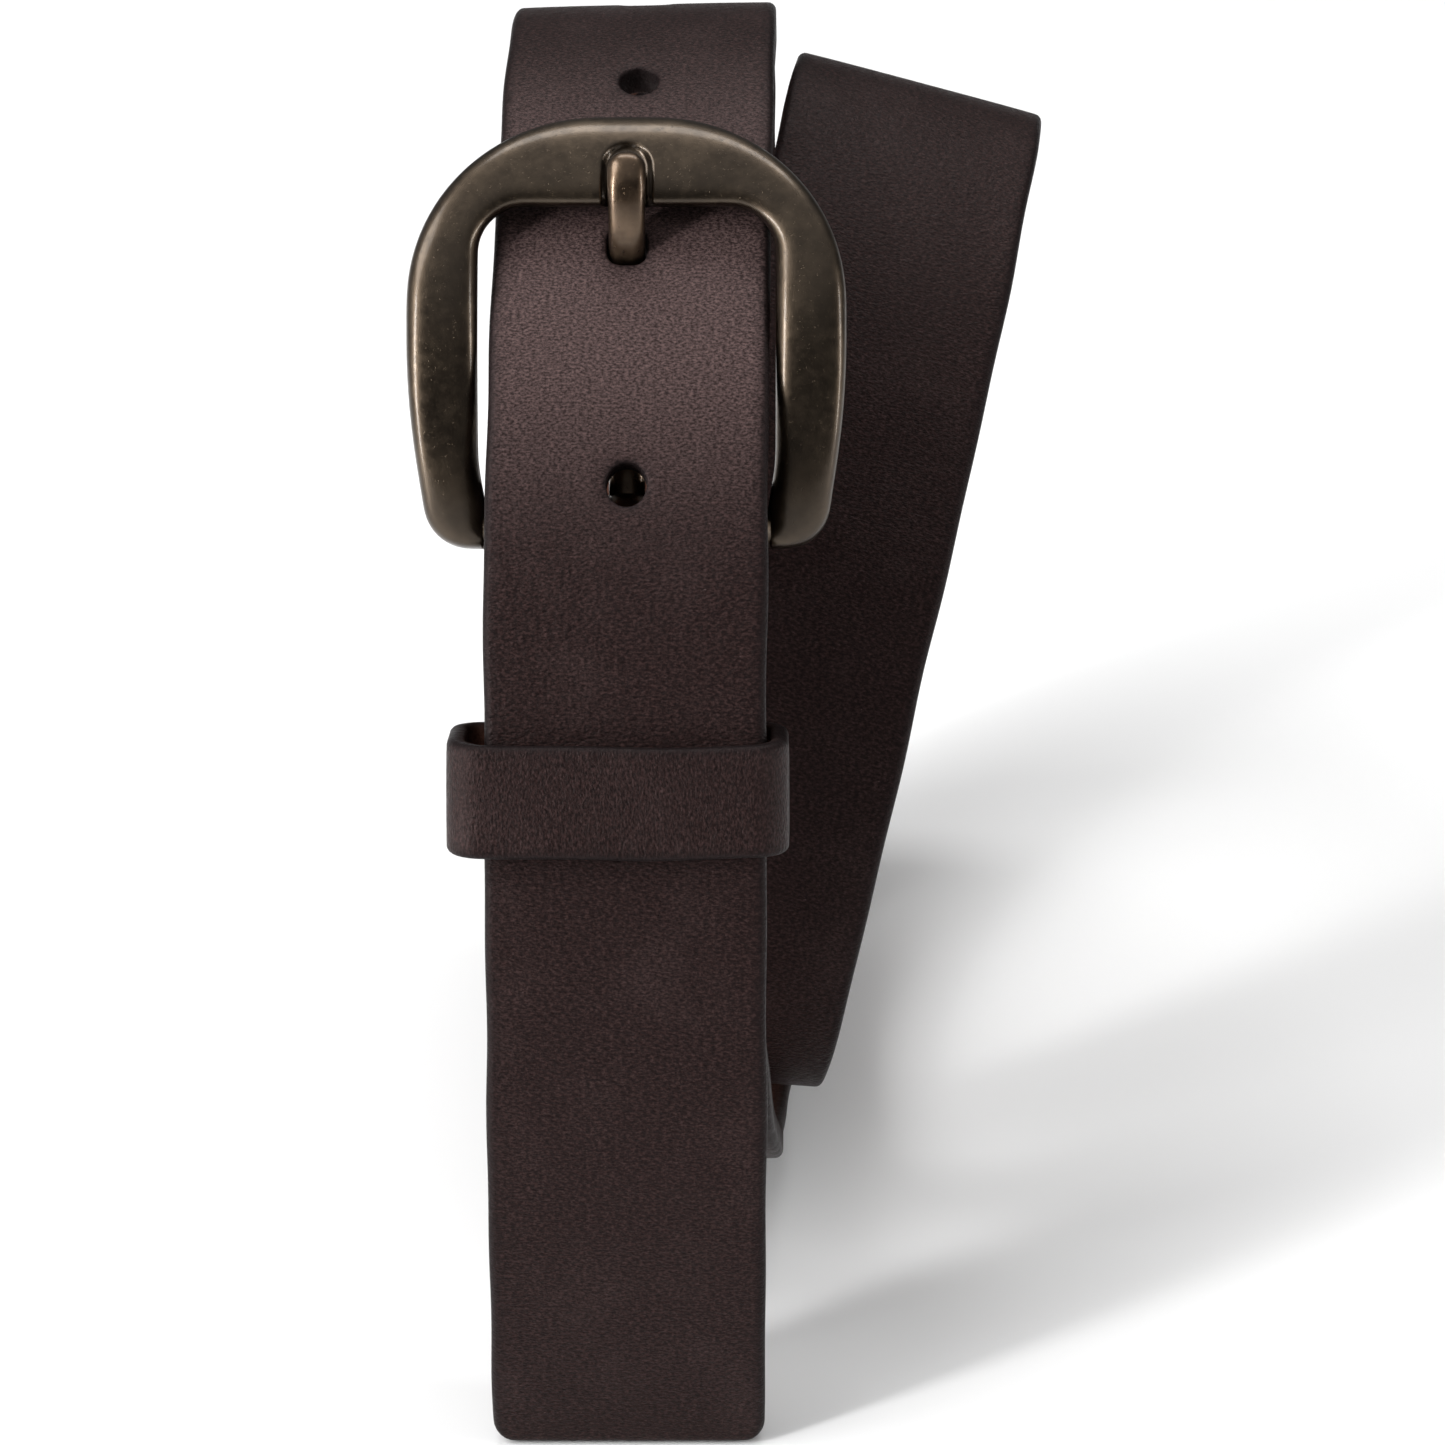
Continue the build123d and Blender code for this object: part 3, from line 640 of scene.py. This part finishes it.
BROWN_DEEP = (0.0062, 0.0030, 0.0028, 1)
BROWN = (0.0220, 0.0114, 0.0106, 1)
# Lighter brown for real wear, and also for the painted highlight and painted glints on the strap.
BROWN_WORN_AND_SHEEN = (0.072, 0.047, 0.045, 1)
EDGE_BLACK = (0.006, 0.0042, 0.0045, 1)
FLESH = (0.045, 0.016, 0.010, 1)
FLESH_FIBRE = (0.085, 0.036, 0.024, 1)


def leather_material(name, highlight_and_wear_span):
    """Dark drum-dyed leather: fine grain, wavy creases with painted shade in their valleys, light specks painted as
    glints, a lighter stretch that is partly wear and partly a painted highlight, burnished edges, raw flesh side.
    """
    shader = Shader(name)
    coords = shader.attribute("coords", 1)
    burnish = shader.attribute("burnish", 2)
    flesh = shader.attribute("flesh", 2)
    grain_space = shader.scaled(coords, (1.9, 1.05, 1.0))
    crease_space = shader.scaled(coords, (1.0, 0.16, 1.0))

    clouds = shader.noise(coords, 0.11, 4.0)
    mottle = shader.noise(grain_space, 0.9, 5.0, 0.65)
    fine = shader.noise(grain_space, 3.4, 3.0, 0.6)
    crease = shader.noise(crease_space, 0.95, 4.0, 0.62)
    valleys = shader.ramp(shader.math("ABSOLUTE", shader.math("SUBTRACT", crease, 0.5)), 0.0, 0.035, 1.0, 0.0)
    patches = shader.ramp(shader.noise(coords, 0.06, 2.0), 0.30, 0.70)
    valleys = shader.math("MULTIPLY", valleys, patches)
    cells = shader.add("TexVoronoi", {"Vector": grain_space, "Scale": 2.1, "Randomness": 1.0}, feature="SMOOTH_F1")
    glint_specks = shader.ramp(shader.noise(grain_space, 2.3, 2.0, 0.5), 0.66, 0.74)
    glint_specks = shader.math("MULTIPLY", glint_specks, shader.ramp(shader.noise(coords, 0.35, 2.0), 0.45, 0.65))

    pebbles = shader.noise(grain_space, 1.5, 3.0, 0.6)
    colour = shader.mix(shader.ramp(pebbles, 0.36, 0.66), BROWN_DEEP, BROWN)
    # Along this stretch (the buckle's opening) the strap is made lighter: partly worn leather, partly a painted
    # highlight.
    if highlight_and_wear_span:
        start, end = highlight_and_wear_span
        along = shader.add("SeparateXYZ", {0: coords})
        bent = shader.math(
            "MULTIPLY", shader.ramp(along, start, start + 32), shader.ramp(along, end + 4, end + 34, 1.0, 0.0)
        )
        wear_and_sheen = shader.math("MULTIPLY", bent, shader.ramp(pebbles, 0.25, 0.6, 0.5, 0.85))
        colour = shader.mix(wear_and_sheen, colour, BROWN_WORN_AND_SHEEN)
    wear_and_sheen = shader.ramp(clouds, 0.45, 0.75, 0.0, 0.22)
    colour = shader.mix(shader.math("MULTIPLY", wear_and_sheen, fine), colour, BROWN_WORN_AND_SHEEN)
    # Painted glints: light specks mixed into the colour.
    colour = shader.mix(shader.math("MULTIPLY", glint_specks, 0.55), colour, BROWN_WORN_AND_SHEEN)
    grain = shader.ramp(shader.noise(grain_space, 2.2, 3.0, 0.7), 0.36, 0.64, 0.30, 1.70)
    colour = shader.scaled(colour, grain)
    # Painted shade: the crease valleys are darkened in the colour.
    colour = shader.mix(shader.math("MULTIPLY", valleys, 0.2), colour, BROWN_DEEP)
    fibres = shader.noise(shader.scaled(coords, (0.5, 1.6, 1.0)), 1.7, 5.0, 0.7)
    raw = shader.mix(shader.ramp(fibres, 0.35, 0.7), FLESH, FLESH_FIBRE)
    colour = shader.mix(flesh, colour, raw)
    colour = shader.mix(shader.math("MULTIPLY", burnish, 0.92), colour, EDGE_BLACK)

    height = shader.math("ADD", shader.math("MULTIPLY", cells, 0.6), shader.math("MULTIPLY", mottle, 0.6))
    normal = shader.bump(height, 0.15, strength=0.75)
    normal = shader.bump(fine, 0.09, normal, 0.8)
    normal = shader.bump(shader.math("SUBTRACT", 1.0, valleys), 0.08, normal, 0.35)
    rough = shader.ramp(mottle, 0.3, 0.7, 0.36, 0.54)
    rough = shader.math("ADD", rough, shader.math("MULTIPLY", flesh, 0.3), clamp=True)
    return shader.surface(
        Base_Color=colour, Roughness=rough, Normal=normal,
        Specular_IOR_Level=shader.math("SUBTRACT", 0.17, shader.math("MULTIPLY", burnish, 0.04)),
        Specular_Tint=(1.0, 0.78, 0.76, 1),
    )


def metal_material(name, dark, light, roughness, wear):
    """Cast metal with a mottled patina, small pits and lighter rubbed patches at random."""
    shader = Shader(name)
    coords = shader.scaled(shader.add("TexCoord", output=3), (1 / MM, 1 / MM, 1 / MM))
    clouds = shader.noise(coords, 0.16, 4.0, 0.6)
    mottle = shader.noise(coords, 0.9, 5.0, 0.65)
    pits = shader.ramp(shader.noise(coords, 3.2, 2.0, 0.5), 0.66, 0.74)
    colour = shader.mix(shader.ramp(clouds, 0.35, 0.65), dark, light)
    colour = shader.mix(shader.ramp(mottle, 0.55, 0.8, 0.0, wear), colour, light)
    colour = shader.mix(shader.math("MULTIPLY", pits, 0.5), colour, dark)
    rough = shader.ramp(mottle, 0.3, 0.7, roughness - 0.06, roughness + 0.07)
    normal = shader.bump(mottle, 0.05, strength=0.35)
    normal = shader.bump(shader.math("SUBTRACT", 1.0, pits), 0.04, normal, 0.5)
    return shader.surface(
        Base_Color=colour, Metallic=1.0, Roughness=rough, Normal=normal, Coat_Weight=0.35, Coat_Roughness=0.16,
    )


brass = metal_material("antique_brass", (0.050, 0.037, 0.026, 1), (0.074, 0.055, 0.038, 1), 0.34, 0.25)
tongue_brass = metal_material("rubbed_brass", (0.075, 0.049, 0.031, 1), (0.135, 0.092, 0.060, 1), 0.33, 0.3)
nickel = metal_material("worn_nickel", (0.30, 0.28, 0.25, 1), (0.50, 0.48, 0.44, 1), 0.30, 0.4)
wire = metal_material("staple_wire", (0.38, 0.38, 0.38, 1), (0.60, 0.60, 0.60, 1), 0.25, 0.4)

# ---------------------------------------------------------------- the strap and its pieces
fold_rows = (strap.s > starts["strap_turn_back"]) & (strap.s < starts["strap_outer_lower"])
above_foot = fold_rows & ((strap.p - BAR) @ UP > -SLOT_DEPTH) & ((strap.p - BAR) @ OUT < 12)
slot = Slot(strap.s[above_foot][0], strap.s[above_foot][-1], SLOT_HALF_WIDTH)


def strap_thickness(s):
    """The strap is pared down where it turns back behind the heel bar."""
    pared = smooth((s - starts["strap_buckle_end"]) / 14.0)
    return TURN_BACK_THICKNESS + (STRAP_THICKNESS - TURN_BACK_THICKNESS) * pared


strap_band = Band(
    strap, STRAP_WIDTH, strap_thickness, (FRONT_ROUND, BACK_ROUND), 11,
    holes=(slot, *holes), corners=(TURN_BACK_CORNER, TIP_CORNER),
)
ABOVE_BUCKLE = starts["strap_under_crossbar"]
AT_CROSSBAR = starts["strap_over_tongue"]
BELOW_TONGUE = starts["strap_over_bar"]
AT_TIP = starts["strap_tip"]
tongue_hole = next(hole for hole in holes if hole.squareness > 2)
lowest_hole = holes[-1]
# From below the crossbar to the tongue's hole the strap is lighter: partly wear, partly a painted highlight.
leather = leather_material("leather_strap", (AT_CROSSBAR - 30, tongue_hole.end))
keeper_leather = leather_material("leather_keeper", None)


def along_strap(s):
    return tuple(strap.at(strap.p, s) * MM)


TURN_BACK_END = starts["strap_buckle_end"] - 3.0
CUTS = {
    "leather_turn_back": (0.0, TURN_BACK_END, ("strap", "turn_back", TURN_BACK_END, TURN_BACK_END - 12), ["strap_turn_back"]),
    "leather_coil": (
        TURN_BACK_END, ABOVE_BUCKLE - 24, "strap",
        ["strap_buckle_end", "strap_outer_lower", "strap_outer_upper", "strap_inner_lower", "strap_inner_upper"],
    ),
    "leather_above_buckle": (ABOVE_BUCKLE - 24, ABOVE_BUCKLE + 4, ("strap", "buckle"), ["strap_under_crossbar"]),
    "leather_over_tongue": (
        ABOVE_BUCKLE + 4, tongue_hole.end, ("buckle", "tongue", AT_CROSSBAR - 5, AT_CROSSBAR + 2.5), ["strap_over_tongue"],
    ),
    "leather_window": (tongue_hole.end, tongue_hole.end + 9, ("tongue", "buckle"), []),
    "leather_to_bar": (tongue_hole.end + 9, lowest_hole.end, ("buckle", "strap"), []),
    "leather_at_keeper": (lowest_hole.end, AT_TIP - 7, "strap", ["strap_over_bar"]),
    "leather_free_end": (AT_TIP - 7, strap.length, ("strap", "tip", AT_TIP - 7, AT_TIP + 9), ["strap_tip"]),
}
for name, (low, high, follows, stands_for) in CUTS.items():
    piece = strap_band.piece(name, low, high, leather)
    if isinstance(follows, str):
        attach(piece, follows)
    else:
        start, end = follows[2:] or (low, high)
        along_strap(start)
        along_strap(end)
        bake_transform(piece)
    if stands_for:
        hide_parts(*stands_for)

# ---------------------------------------------------------------- the keeper
def cad_points(node):
    mesh = nodes[node].data
    points = np.zeros(3 * len(mesh.vertices))
    mesh.vertices.foreach_get("co", points)
    return points.reshape(-1, 3) / MM


KEEPER_OUT = np.cross(X, KEEPER_UP)
KEEPER_AXES = np.stack([X, KEEPER_UP, KEEPER_OUT])
keeper_low = (cad_points("keeper") @ KEEPER_AXES.T).min(0)
keeper_high = (cad_points("keeper") @ KEEPER_AXES.T).max(0)
keeper_middle = (keeper_low + keeper_high) / 2
keeper_half = (keeper_high - keeper_low) / 2
KEEPER_SAG = 0.10  # the loose front hangs lower than the back
KEEPER_DIP = 0.4
KEEPER_BOW = 0.35
KEEPER_BACK_BOW = 0.3


def rounded_rectangle(half_x, half_y, corner, step):
    """Points round a rounded rectangle, from the middle of its low side towards -x."""
    straight_x, straight_y = half_x - corner, half_y - corner
    points = [(x, -half_y) for x in np.arange(0, -straight_x, -step)]
    for centre_x, centre_y, turn in ((-1, -1, 270), (-1, 1, 180), (1, 1, 90), (1, -1, 0)):
        for angle in np.radians(np.linspace(turn, turn - 90, 9)):
            points.append((centre_x * straight_x + corner * math.cos(angle), centre_y * straight_y + corner * math.sin(angle)))
        if turn == 270:
            points += [(-half_x, y) for y in np.arange(-straight_y + step, straight_y - step / 2, step)]
        elif turn == 180:
            points += [(x, half_y) for x in np.arange(-straight_x + step, straight_x - step / 2, step)]
        elif turn == 90:
            points += [(half_x, y) for y in np.arange(straight_y - step, step / 2 - straight_y, -step)]
    points += [(x, -half_y) for x in np.arange(straight_x - step, step / 2, -step)]
    return np.array(points + [(0, -half_y)])


def make_keeper():
    outline = rounded_rectangle(keeper_half[0], keeper_half[2], KEEPER_CORNER, 0.8)
    x, out = outline[:, 0], outline[:, 1]
    bow = smooth(out / keeper_half[2]) * (1 - (x / keeper_half[0]) ** 2).clip(0)
    back_bow = smooth(-out / keeper_half[2]) * (1 - (x / keeper_half[0]) ** 4).clip(0)
    up = -KEEPER_SAG * out - KEEPER_DIP * bow
    local = keeper_middle + np.stack([x, up, out + KEEPER_BOW * bow - KEEPER_BACK_BOW * back_bow], -1)
    middle = local @ KEEPER_AXES
    line = Line(middle, np.repeat(KEEPER_UP[None], len(middle), axis=0), closed=True)
    band = Band(line, 2 * keeper_half[1], lambda s: KEEPER_WALL, (0.7, 0.5), 23, ends_joined=True)
    piece = band.piece("leather_keeper", 0, line.length, keeper_leather)
    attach(piece, "keeper")
    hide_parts("keeper")


make_keeper()


# ---------------------------------------------------------------- buckle frame and tongue
def superellipse(angles, front_power, back_power):
    """Across and outward shares of a domed section."""
    power = np.where(np.sin(angles) >= 0, front_power, back_power)
    across = np.cos(angles)
    outward = np.sign(np.sin(angles)) * (1 - np.abs(across) ** power) ** (1 / power)
    return across, outward


class Lofts:
    """Closed tubes through rings of points, gathered into one mesh."""

    def __init__(self):
        self.verts, self.faces = np.zeros((0, 3)), []

    def add(self, rings, closed=False):
        count, size = rings.shape[:2]
        start = len(self.verts)
        self.verts = np.concatenate([self.verts, rings.reshape(-1, 3)])
        for i in range(count if closed else count - 1):
            here, there = start + i * size, start + (i + 1) % count * size
            self.faces += [(here + j, there + j, there + (j + 1) % size, here + (j + 1) % size) for j in range(size)]
        if not closed:
            self.faces.append(tuple(range(start, start + size)))
            self.faces.append(tuple(range(start + (count - 1) * size, start + count * size)))

    def finish(self, name, body, node, metal):
        mesh = bpy.data.meshes.new(name)
        mesh.from_pydata(self.verts * MM, [], self.faces)
        bm = bmesh.new()
        bm.from_mesh(mesh)
        bmesh.ops.recalc_face_normals(bm, faces=bm.faces)
        bm.to_mesh(mesh)
        bm.free()
        mesh.shade_smooth()
        mesh.materials.append(metal)
        piece = bpy.data.objects.new(name, mesh)
        bpy.context.scene.collection.objects.link(piece)
        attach(piece, body)
        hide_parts(node)


FRAME_AXES = np.stack([X, UP, OUT])
frame_points = (cad_points("buckle_frame") - ORIGIN) @ FRAME_AXES.T
frame_low, frame_high = frame_points.min(0), frame_points.max(0)
FRAME_X = (frame_low[0] + frame_high[0]) / 2
FRAME_HALF = (frame_high[0] - frame_low[0]) / 2
FRAME_BOTTOM, FRAME_TOP = frame_low[1], frame_high[1]
FRAME_THICKNESS = 4.4
FRAME_TOP_RADIUS = 20.5
FRAME_HEEL_HALF = 22.0
FOOT_CORNER = 4.8
FOOT_REACH = 0.9  # the feet reach in towards the fold
OPENING_HALF = 16.0
OPENING_TOP = 55.6
OPENING_CORNER = 5.0
SEAT_HALF = 2.5
SEAT_DEPTH = 0.9
SEAT_TOP = 62.3


def frame_arch():
    """How far out the middle of the frame's side arms is, as a polynomial of the height."""
    arms = frame_points[np.abs(frame_points[:, 0] - FRAME_X) > OPENING_HALF + 1]
    heights, middles = [], []
    for low in np.arange(FRAME_BOTTOM + 4, FRAME_TOP - 10, 1.5):
        slab = arms[(arms[:, 1] >= low) & (arms[:, 1] < low + 1.5)]
        if len(slab) > 5:
            heights.append(low + 0.75)
            middles.append((slab[:, 2].min() + slab[:, 2].max()) / 2)
    return np.polyfit(heights, middles, 2)


def frame_outlines():
    """Matched points of the frame's outer and inner outlines, from the top's middle to the right foot."""
    def arc(centre_x, centre_h, radius, start, end, count):
        angles = np.radians(np.linspace(start, end, count))
        return np.stack([centre_x + radius * np.cos(angles), centre_h + radius * np.sin(angles)], -1)

    def straight(start, end, shares):
        return np.array(start) + shares[:, None] * (np.array(end) - np.array(start))

    flat = FRAME_HALF - FRAME_TOP_RADIUS
    side = FRAME_TOP - FRAME_TOP_RADIUS
    foot = FRAME_BOTTOM + FOOT_CORNER
    inner = OPENING_HALF - OPENING_CORNER
    near = np.arange(0, flat, 0.22)
    outer_parts = [np.stack([near, 0 * near + FRAME_TOP], -1), arc(flat, side, FRAME_TOP_RADIUS, 90, 66, 16)]
    inner_parts = [np.stack([near, 0 * near + OPENING_TOP], -1), straight((flat, OPENING_TOP), (inner, OPENING_TOP), np.linspace(0, 1, 16))]
    outer_parts.append(arc(flat, side, FRAME_TOP_RADIUS, 64, 14, 24))
    inner_parts.append(arc(inner, OPENING_TOP - OPENING_CORNER, OPENING_CORNER, 87, 3, 24))
    shares = np.linspace(0, 1, 36)
    reach = straight((FRAME_HALF, side), (FRAME_HEEL_HALF, foot), shares)
    reach[:, 0] += 0.55 * np.sin(math.pi * shares)
    outer_parts += [arc(flat, side, FRAME_TOP_RADIUS, 12, 1, 6), reach]
    down = straight((OPENING_HALF, OPENING_TOP - OPENING_CORNER), (OPENING_HALF, FRAME_BOTTOM + 3.5), np.linspace(0, 1, 42))
    down[:, 0] -= FOOT_REACH * smooth((FRAME_BOTTOM + 10 - down[:, 1]) / 7)
    inner_parts.append(down)
    outer_parts.append(arc(FRAME_HEEL_HALF - FOOT_CORNER, foot, FOOT_CORNER, -5, -88, 13))
    below = straight((FRAME_HEEL_HALF - FOOT_CORNER, FRAME_BOTTOM), (OPENING_HALF - 0.4, FRAME_BOTTOM), np.linspace(0.2, 1, 5))
    outer_parts.append(below)
    low = OPENING_HALF - FOOT_REACH
    inner_parts.append(straight((low, FRAME_BOTTOM + 3.4), (low, FRAME_BOTTOM + 1.2), np.linspace(0, 1, 18)))
    return blurred(np.concatenate(outer_parts), 1.5), blurred(np.concatenate(inner_parts), 1.5)


def make_frame():
    arch = frame_arch()
    outer, inner = frame_outlines()
    mirror = np.array([-1, 1])
    outer = np.concatenate([(outer * mirror)[:0:-1], outer])[:, None, :]
    inner = np.concatenate([(inner * mirror)[:0:-1], inner])[:, None, :]
    angles = np.linspace(0, 2 * math.pi, 112, endpoint=False)
    across, outward = superellipse(angles, 2.9, 3.4)
    middle = (outer + inner) / 2 + (outer - inner) / 2 * across[None, :, None]
    half = np.linalg.norm(outer - inner, axis=-1) / 2
    thin = np.sqrt(1 - (1 - np.clip(half / 1.1, 0, 1)) ** 2)
    depth = FRAME_THICKNESS / 2 * outward[None] * thin
    x, height = middle[..., 0], middle[..., 1]
    centre = SEAT_TOP - SEAT_HALF
    inside = SEAT_HALF - np.where(height < centre, np.abs(x), np.hypot(x, height - centre))
    depth = depth - SEAT_DEPTH * smooth(inside / 0.8 + 0.5) * smooth(outward[None] * 3)
    loft = Lofts()
    loft.add(leaning(FRAME_X + x, height, np.polyval(arch, height) + depth))
    turn = np.linspace(0, 2 * math.pi, 40, endpoint=False)
    reach = np.linspace(0.5 - OPENING_HALF, OPENING_HALF - 0.5, 12)[:, None]
    loft.add(
        leaning(
            FRAME_X + reach + 0 * turn,
            BAR_PLACE[1] + 0.95 * BAR_RADIUS * np.cos(turn) + 0 * reach,
            BAR_PLACE[2] + 0.95 * BAR_RADIUS * np.sin(turn) + 0 * reach,
        )
    )
    loft.finish("brass_frame", "buckle", "buckle_frame", brass)


# The tongue's middle line as (out, height): up behind the strap, through its hole, onto the crossbar.
TONGUE_LINE = ((-11.6, 23.4), (-11.6, 33.0), (-13.5, 42.6), (-13.3, 46.6), (-8.0, 54.2), (-6.8, 57.6), (-7.6, 61.3))
TONGUE_ROUND = 1.9
CURL_WALL = 1.6


def make_tongue():
    points = np.array(TONGUE_LINE)
    length = length_of(points)
    where = np.r_[np.arange(0, length - TONGUE_ROUND, 0.4), length - TONGUE_ROUND * (1 - np.sin(np.linspace(0, math.pi / 2, 9)))]
    line = blurred(resample(points, where), 1.2)
    along = unit(np.gradient(line, where, axis=0))
    outward = np.stack([along[:, 1], -along[:, 0]], -1)
    short = np.clip(1 - (length - where) / TONGUE_ROUND, 0, 1)
    size = np.sqrt(1 - short**2) * 0.97 + 0.03
    angles = np.linspace(0, 2 * math.pi, 40, endpoint=False)
    across, rise = superellipse(angles, 2.5, 2.8)
    swell = 1 + 0.05 * np.exp(-(((length - where) - 3.2) / 2.0) ** 2)
    x = FRAME_X + TONGUE_WIDTH / 2 * across[None] * (size * swell)[:, None]
    side = line[:, None] + outward[:, None] * (TONGUE_THICKNESS / 2 * rise[None, :, None] * size[:, None, None])
    loft = Lofts()
    loft.add(leaning(x, side[..., 1], side[..., 0]))
    turn = np.linspace(0, 2 * math.pi, 48, endpoint=False)[:, None]
    radius = BAR_RADIUS + 0.08 + CURL_WALL / 2 * (1 + rise[None])
    curl_x = FRAME_X + TONGUE_WIDTH / 2 * across[None] + 0 * turn
    loft.add(leaning(curl_x, BAR_PLACE[1] + radius * np.cos(turn), BAR_PLACE[2] + radius * np.sin(turn)), closed=True)
    loft.finish("brass_tongue", "tongue", "tongue", tongue_brass)


make_frame()
make_tongue()

# ---------------------------------------------------------------- stage: floor, light and camera
def make_camera():
    """The camera looks straight at the leaning coil from half a metre in front of it."""
    data = bpy.data.cameras.new("camera")
    data.lens, data.sensor_width = 113.2, 36.0
    data.clip_start = 0.01
    camera = bpy.data.objects.new("camera", data)
    bpy.context.scene.collection.objects.link(camera)
    turn = Matrix((X, UP, OUT)).transposed().to_4x4()
    camera.matrix_world = Matrix.Translation((ORIGIN + 480.0 * OUT) * MM) @ turn
    bpy.context.scene.camera = camera


def make_floor():
    mesh = bpy.data.meshes.new("floor")
    side = 1.5
    corners = [(x * side, y * side, cad_box[0][2]) for x, y in ((-1, -1), (1, -1), (1, 1), (-1, 1))]
    mesh.from_pydata(corners, [], [(0, 1, 2, 3)])
    floor = bpy.data.objects.new("floor", mesh)
    bpy.context.scene.collection.objects.link(floor)
    shader = Shader("white_floor")
    mesh.materials.append(shader.surface(Base_Color=(0.92, 0.92, 0.92, 1), Roughness=0.6))


def make_light(name, place, size, power, target=(0, 0, 0.08)):
    """A soft rectangular light that faces the target, at a place in metres."""
    data = bpy.data.lights.new(name, "AREA")
    data.shape = "RECTANGLE"
    data.size, data.size_y = size
    data.energy = power
    light = bpy.data.objects.new(name, data)
    bpy.context.scene.collection.objects.link(light)
    back = unit(np.array(place) - np.array(target))
    side = unit(np.cross((0, 0, 1), back))
    turn = Matrix((side, np.cross(back, side), back)).transposed().to_4x4()
    light.matrix_world = Matrix.Translation(place) @ turn


make_camera()
make_floor()
make_light("key", (-0.75, -0.25, 1.00), (0.6, 0.6), 7.5)
make_light("left_strip", (-0.70, -0.46, 0.22), (0.08, 0.8), 8.5)
make_light("right_strip", (0.75, -0.25, 0.22), (0.07, 0.6), 2.4)
make_light("top", (0.05, 0.40, 1.15), (0.9, 0.28), 6.0)


def make_world():
    """A room that is bright overhead and to the left, and dim in front."""
    world = bpy.data.worlds.new("studio")
    bpy.context.scene.world = world
    world.use_nodes = True
    shader = Shader.__new__(Shader)
    shader.tree = world.node_tree
    way = shader.add("SeparateXYZ", {0: shader.add("TexCoord", output=0)}, output=2)
    left = shader.add("SeparateXYZ", {0: shader.add("TexCoord", output=0)}, output=0)
    overhead = shader.ramp(way, 0.45, 1.0, 0.12, 0.60)
    beside = shader.ramp(left, -0.95, -0.45, 0.35, 0.0)
    background = world.node_tree.nodes["Background"]
    background.inputs["Color"].default_value = (1, 1, 1, 1)
    world.node_tree.links.new(shader.math("ADD", overhead, beside), background.inputs["Strength"])


make_world()
bpy.context.scene.view_settings.view_transform = "Standard"

for node in nodes.values():
    if not node.hide_render:
        node.data.materials.clear()
        node.data.materials.append(nickel if node.name.startswith("snap") else wire if "staple" in node.name else brass)
